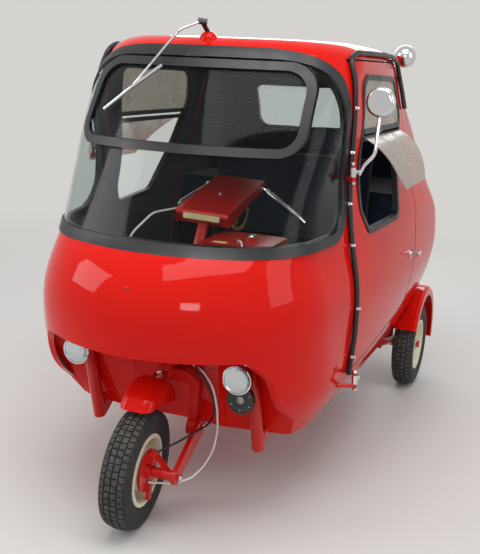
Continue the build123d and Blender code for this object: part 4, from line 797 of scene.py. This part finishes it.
def backdrop():
    """A pale floor that fades at 5 m into a world that camera, metal and glass see as plain pale grey."""
    mesh = bpy.data.meshes.new("floor")
    mesh.from_pydata([(-9, -9, 0), (9, -9, 0), (9, 9, 0), (-9, 9, 0)], [], [(0, 1, 2, 3)])
    floor = bpy.data.objects.new("floor", mesh)
    bpy.context.scene.collection.objects.link(floor)
    material = new_material("floor_paint", "#d0cfcc", 0.6, specular=0.2)
    tree, shader = nodes_of(material)
    place = tree.nodes.new("ShaderNodeTexCoord")
    reach = tree.nodes.new("ShaderNodeVectorMath")
    reach.operation = "LENGTH"
    fade = tree.nodes.new("ShaderNodeMapRange")
    fade.interpolation_type = "SMOOTHSTEP"
    fade.inputs["From Min"].default_value = 1.6
    fade.inputs["From Max"].default_value = 5.2
    fade.inputs["To Min"].default_value = 1.0
    fade.inputs["To Max"].default_value = 0.0
    tree.links.new(place.outputs["Object"], reach.inputs[0])
    tree.links.new(reach.outputs["Value"], fade.inputs["Value"])
    tree.links.new(fade.outputs["Result"], shader.inputs["Alpha"])
    mesh.materials.append(material)
    world = bpy.data.worlds.new("studio")
    bpy.context.scene.world = world
    world.use_nodes = True
    tree = world.node_tree
    tree.nodes.clear()
    out = tree.nodes.new("ShaderNodeOutputWorld")
    light = tree.nodes.new("ShaderNodeBackground")
    shown = tree.nodes.new("ShaderNodeBackground")
    mix = tree.nodes.new("ShaderNodeMixShader")
    path = tree.nodes.new("ShaderNodeLightPath")
    either = tree.nodes.new("ShaderNodeMath")
    either.operation = "MAXIMUM"
    any_shown = tree.nodes.new("ShaderNodeMath")
    any_shown.operation = "MAXIMUM"
    place = tree.nodes.new("ShaderNodeTexCoord")
    split = tree.nodes.new("ShaderNodeSeparateXYZ")
    ramp = tree.nodes.new("ShaderNodeValToRGB")
    stops = ramp.color_ramp
    stops.elements[0].position = 0.42
    stops.elements[0].color = (0.16, 0.16, 0.17, 1)
    stops.elements[1].position = 0.92
    stops.elements[1].color = (0.75, 0.76, 0.78, 1)
    scale = tree.nodes.new("ShaderNodeMapRange")
    scale.inputs["From Min"].default_value = -1.0
    tree.links.new(place.outputs["Generated"], split.inputs["Vector"])
    tree.links.new(split.outputs["Z"], scale.inputs["Value"])
    tree.links.new(scale.outputs["Result"], ramp.inputs["Fac"])
    tree.links.new(ramp.outputs["Color"], light.inputs["Color"])
    light.inputs["Strength"].default_value = 0.75
    shown.inputs["Color"].default_value = linear("#d4d3d0")
    shown.inputs["Strength"].default_value = 1.0
    tree.links.new(path.outputs["Is Camera Ray"], either.inputs[0])
    tree.links.new(path.outputs["Is Transmission Ray"], either.inputs[1])
    tree.links.new(either.outputs["Value"], any_shown.inputs[0])
    tree.links.new(path.outputs["Is Glossy Ray"], any_shown.inputs[1])
    tree.links.new(any_shown.outputs["Value"], mix.inputs["Fac"])
    tree.links.new(light.outputs["Background"], mix.inputs[1])
    tree.links.new(shown.outputs["Background"], mix.inputs[2])
    tree.links.new(mix.outputs["Shader"], out.inputs["Surface"])


def lamp(name, place, target, size, power):
    """A soft rectangular lamp turned to its target."""
    data = bpy.data.lights.new(name, "AREA")
    data.shape = "RECTANGLE"
    data.size, data.size_y = size
    data.energy = power
    made = bpy.data.objects.new(name, data)
    bpy.context.scene.collection.objects.link(made)
    made.location = place
    made.rotation_euler = (Vector(target) - Vector(place)).to_track_quat("-Z", "Y").to_euler()


backdrop()
lamp("over", (0.6, -1.6, 4.2), (0.0, 0.0, 0.8), (3.2, 2.2), 95)
lamp("side", (4.0, -0.6, 2.4), (0.0, 0.2, 0.8), (1.6, 2.6), 34)
lamp("far_side", (-3.6, -2.4, 2.6), (0.0, 0.0, 0.7), (1.8, 2.2), 60)
lamp("behind", (-1.0, 4.2, 2.8), (0.0, 0.4, 0.8), (3.0, 1.6), 60)
lamp("front", (1.3, -4.6, 1.9), (0.0, -0.6, 0.7), (0.9, 0.7), 26)
bpy.context.scene.view_settings.view_transform = "Standard"
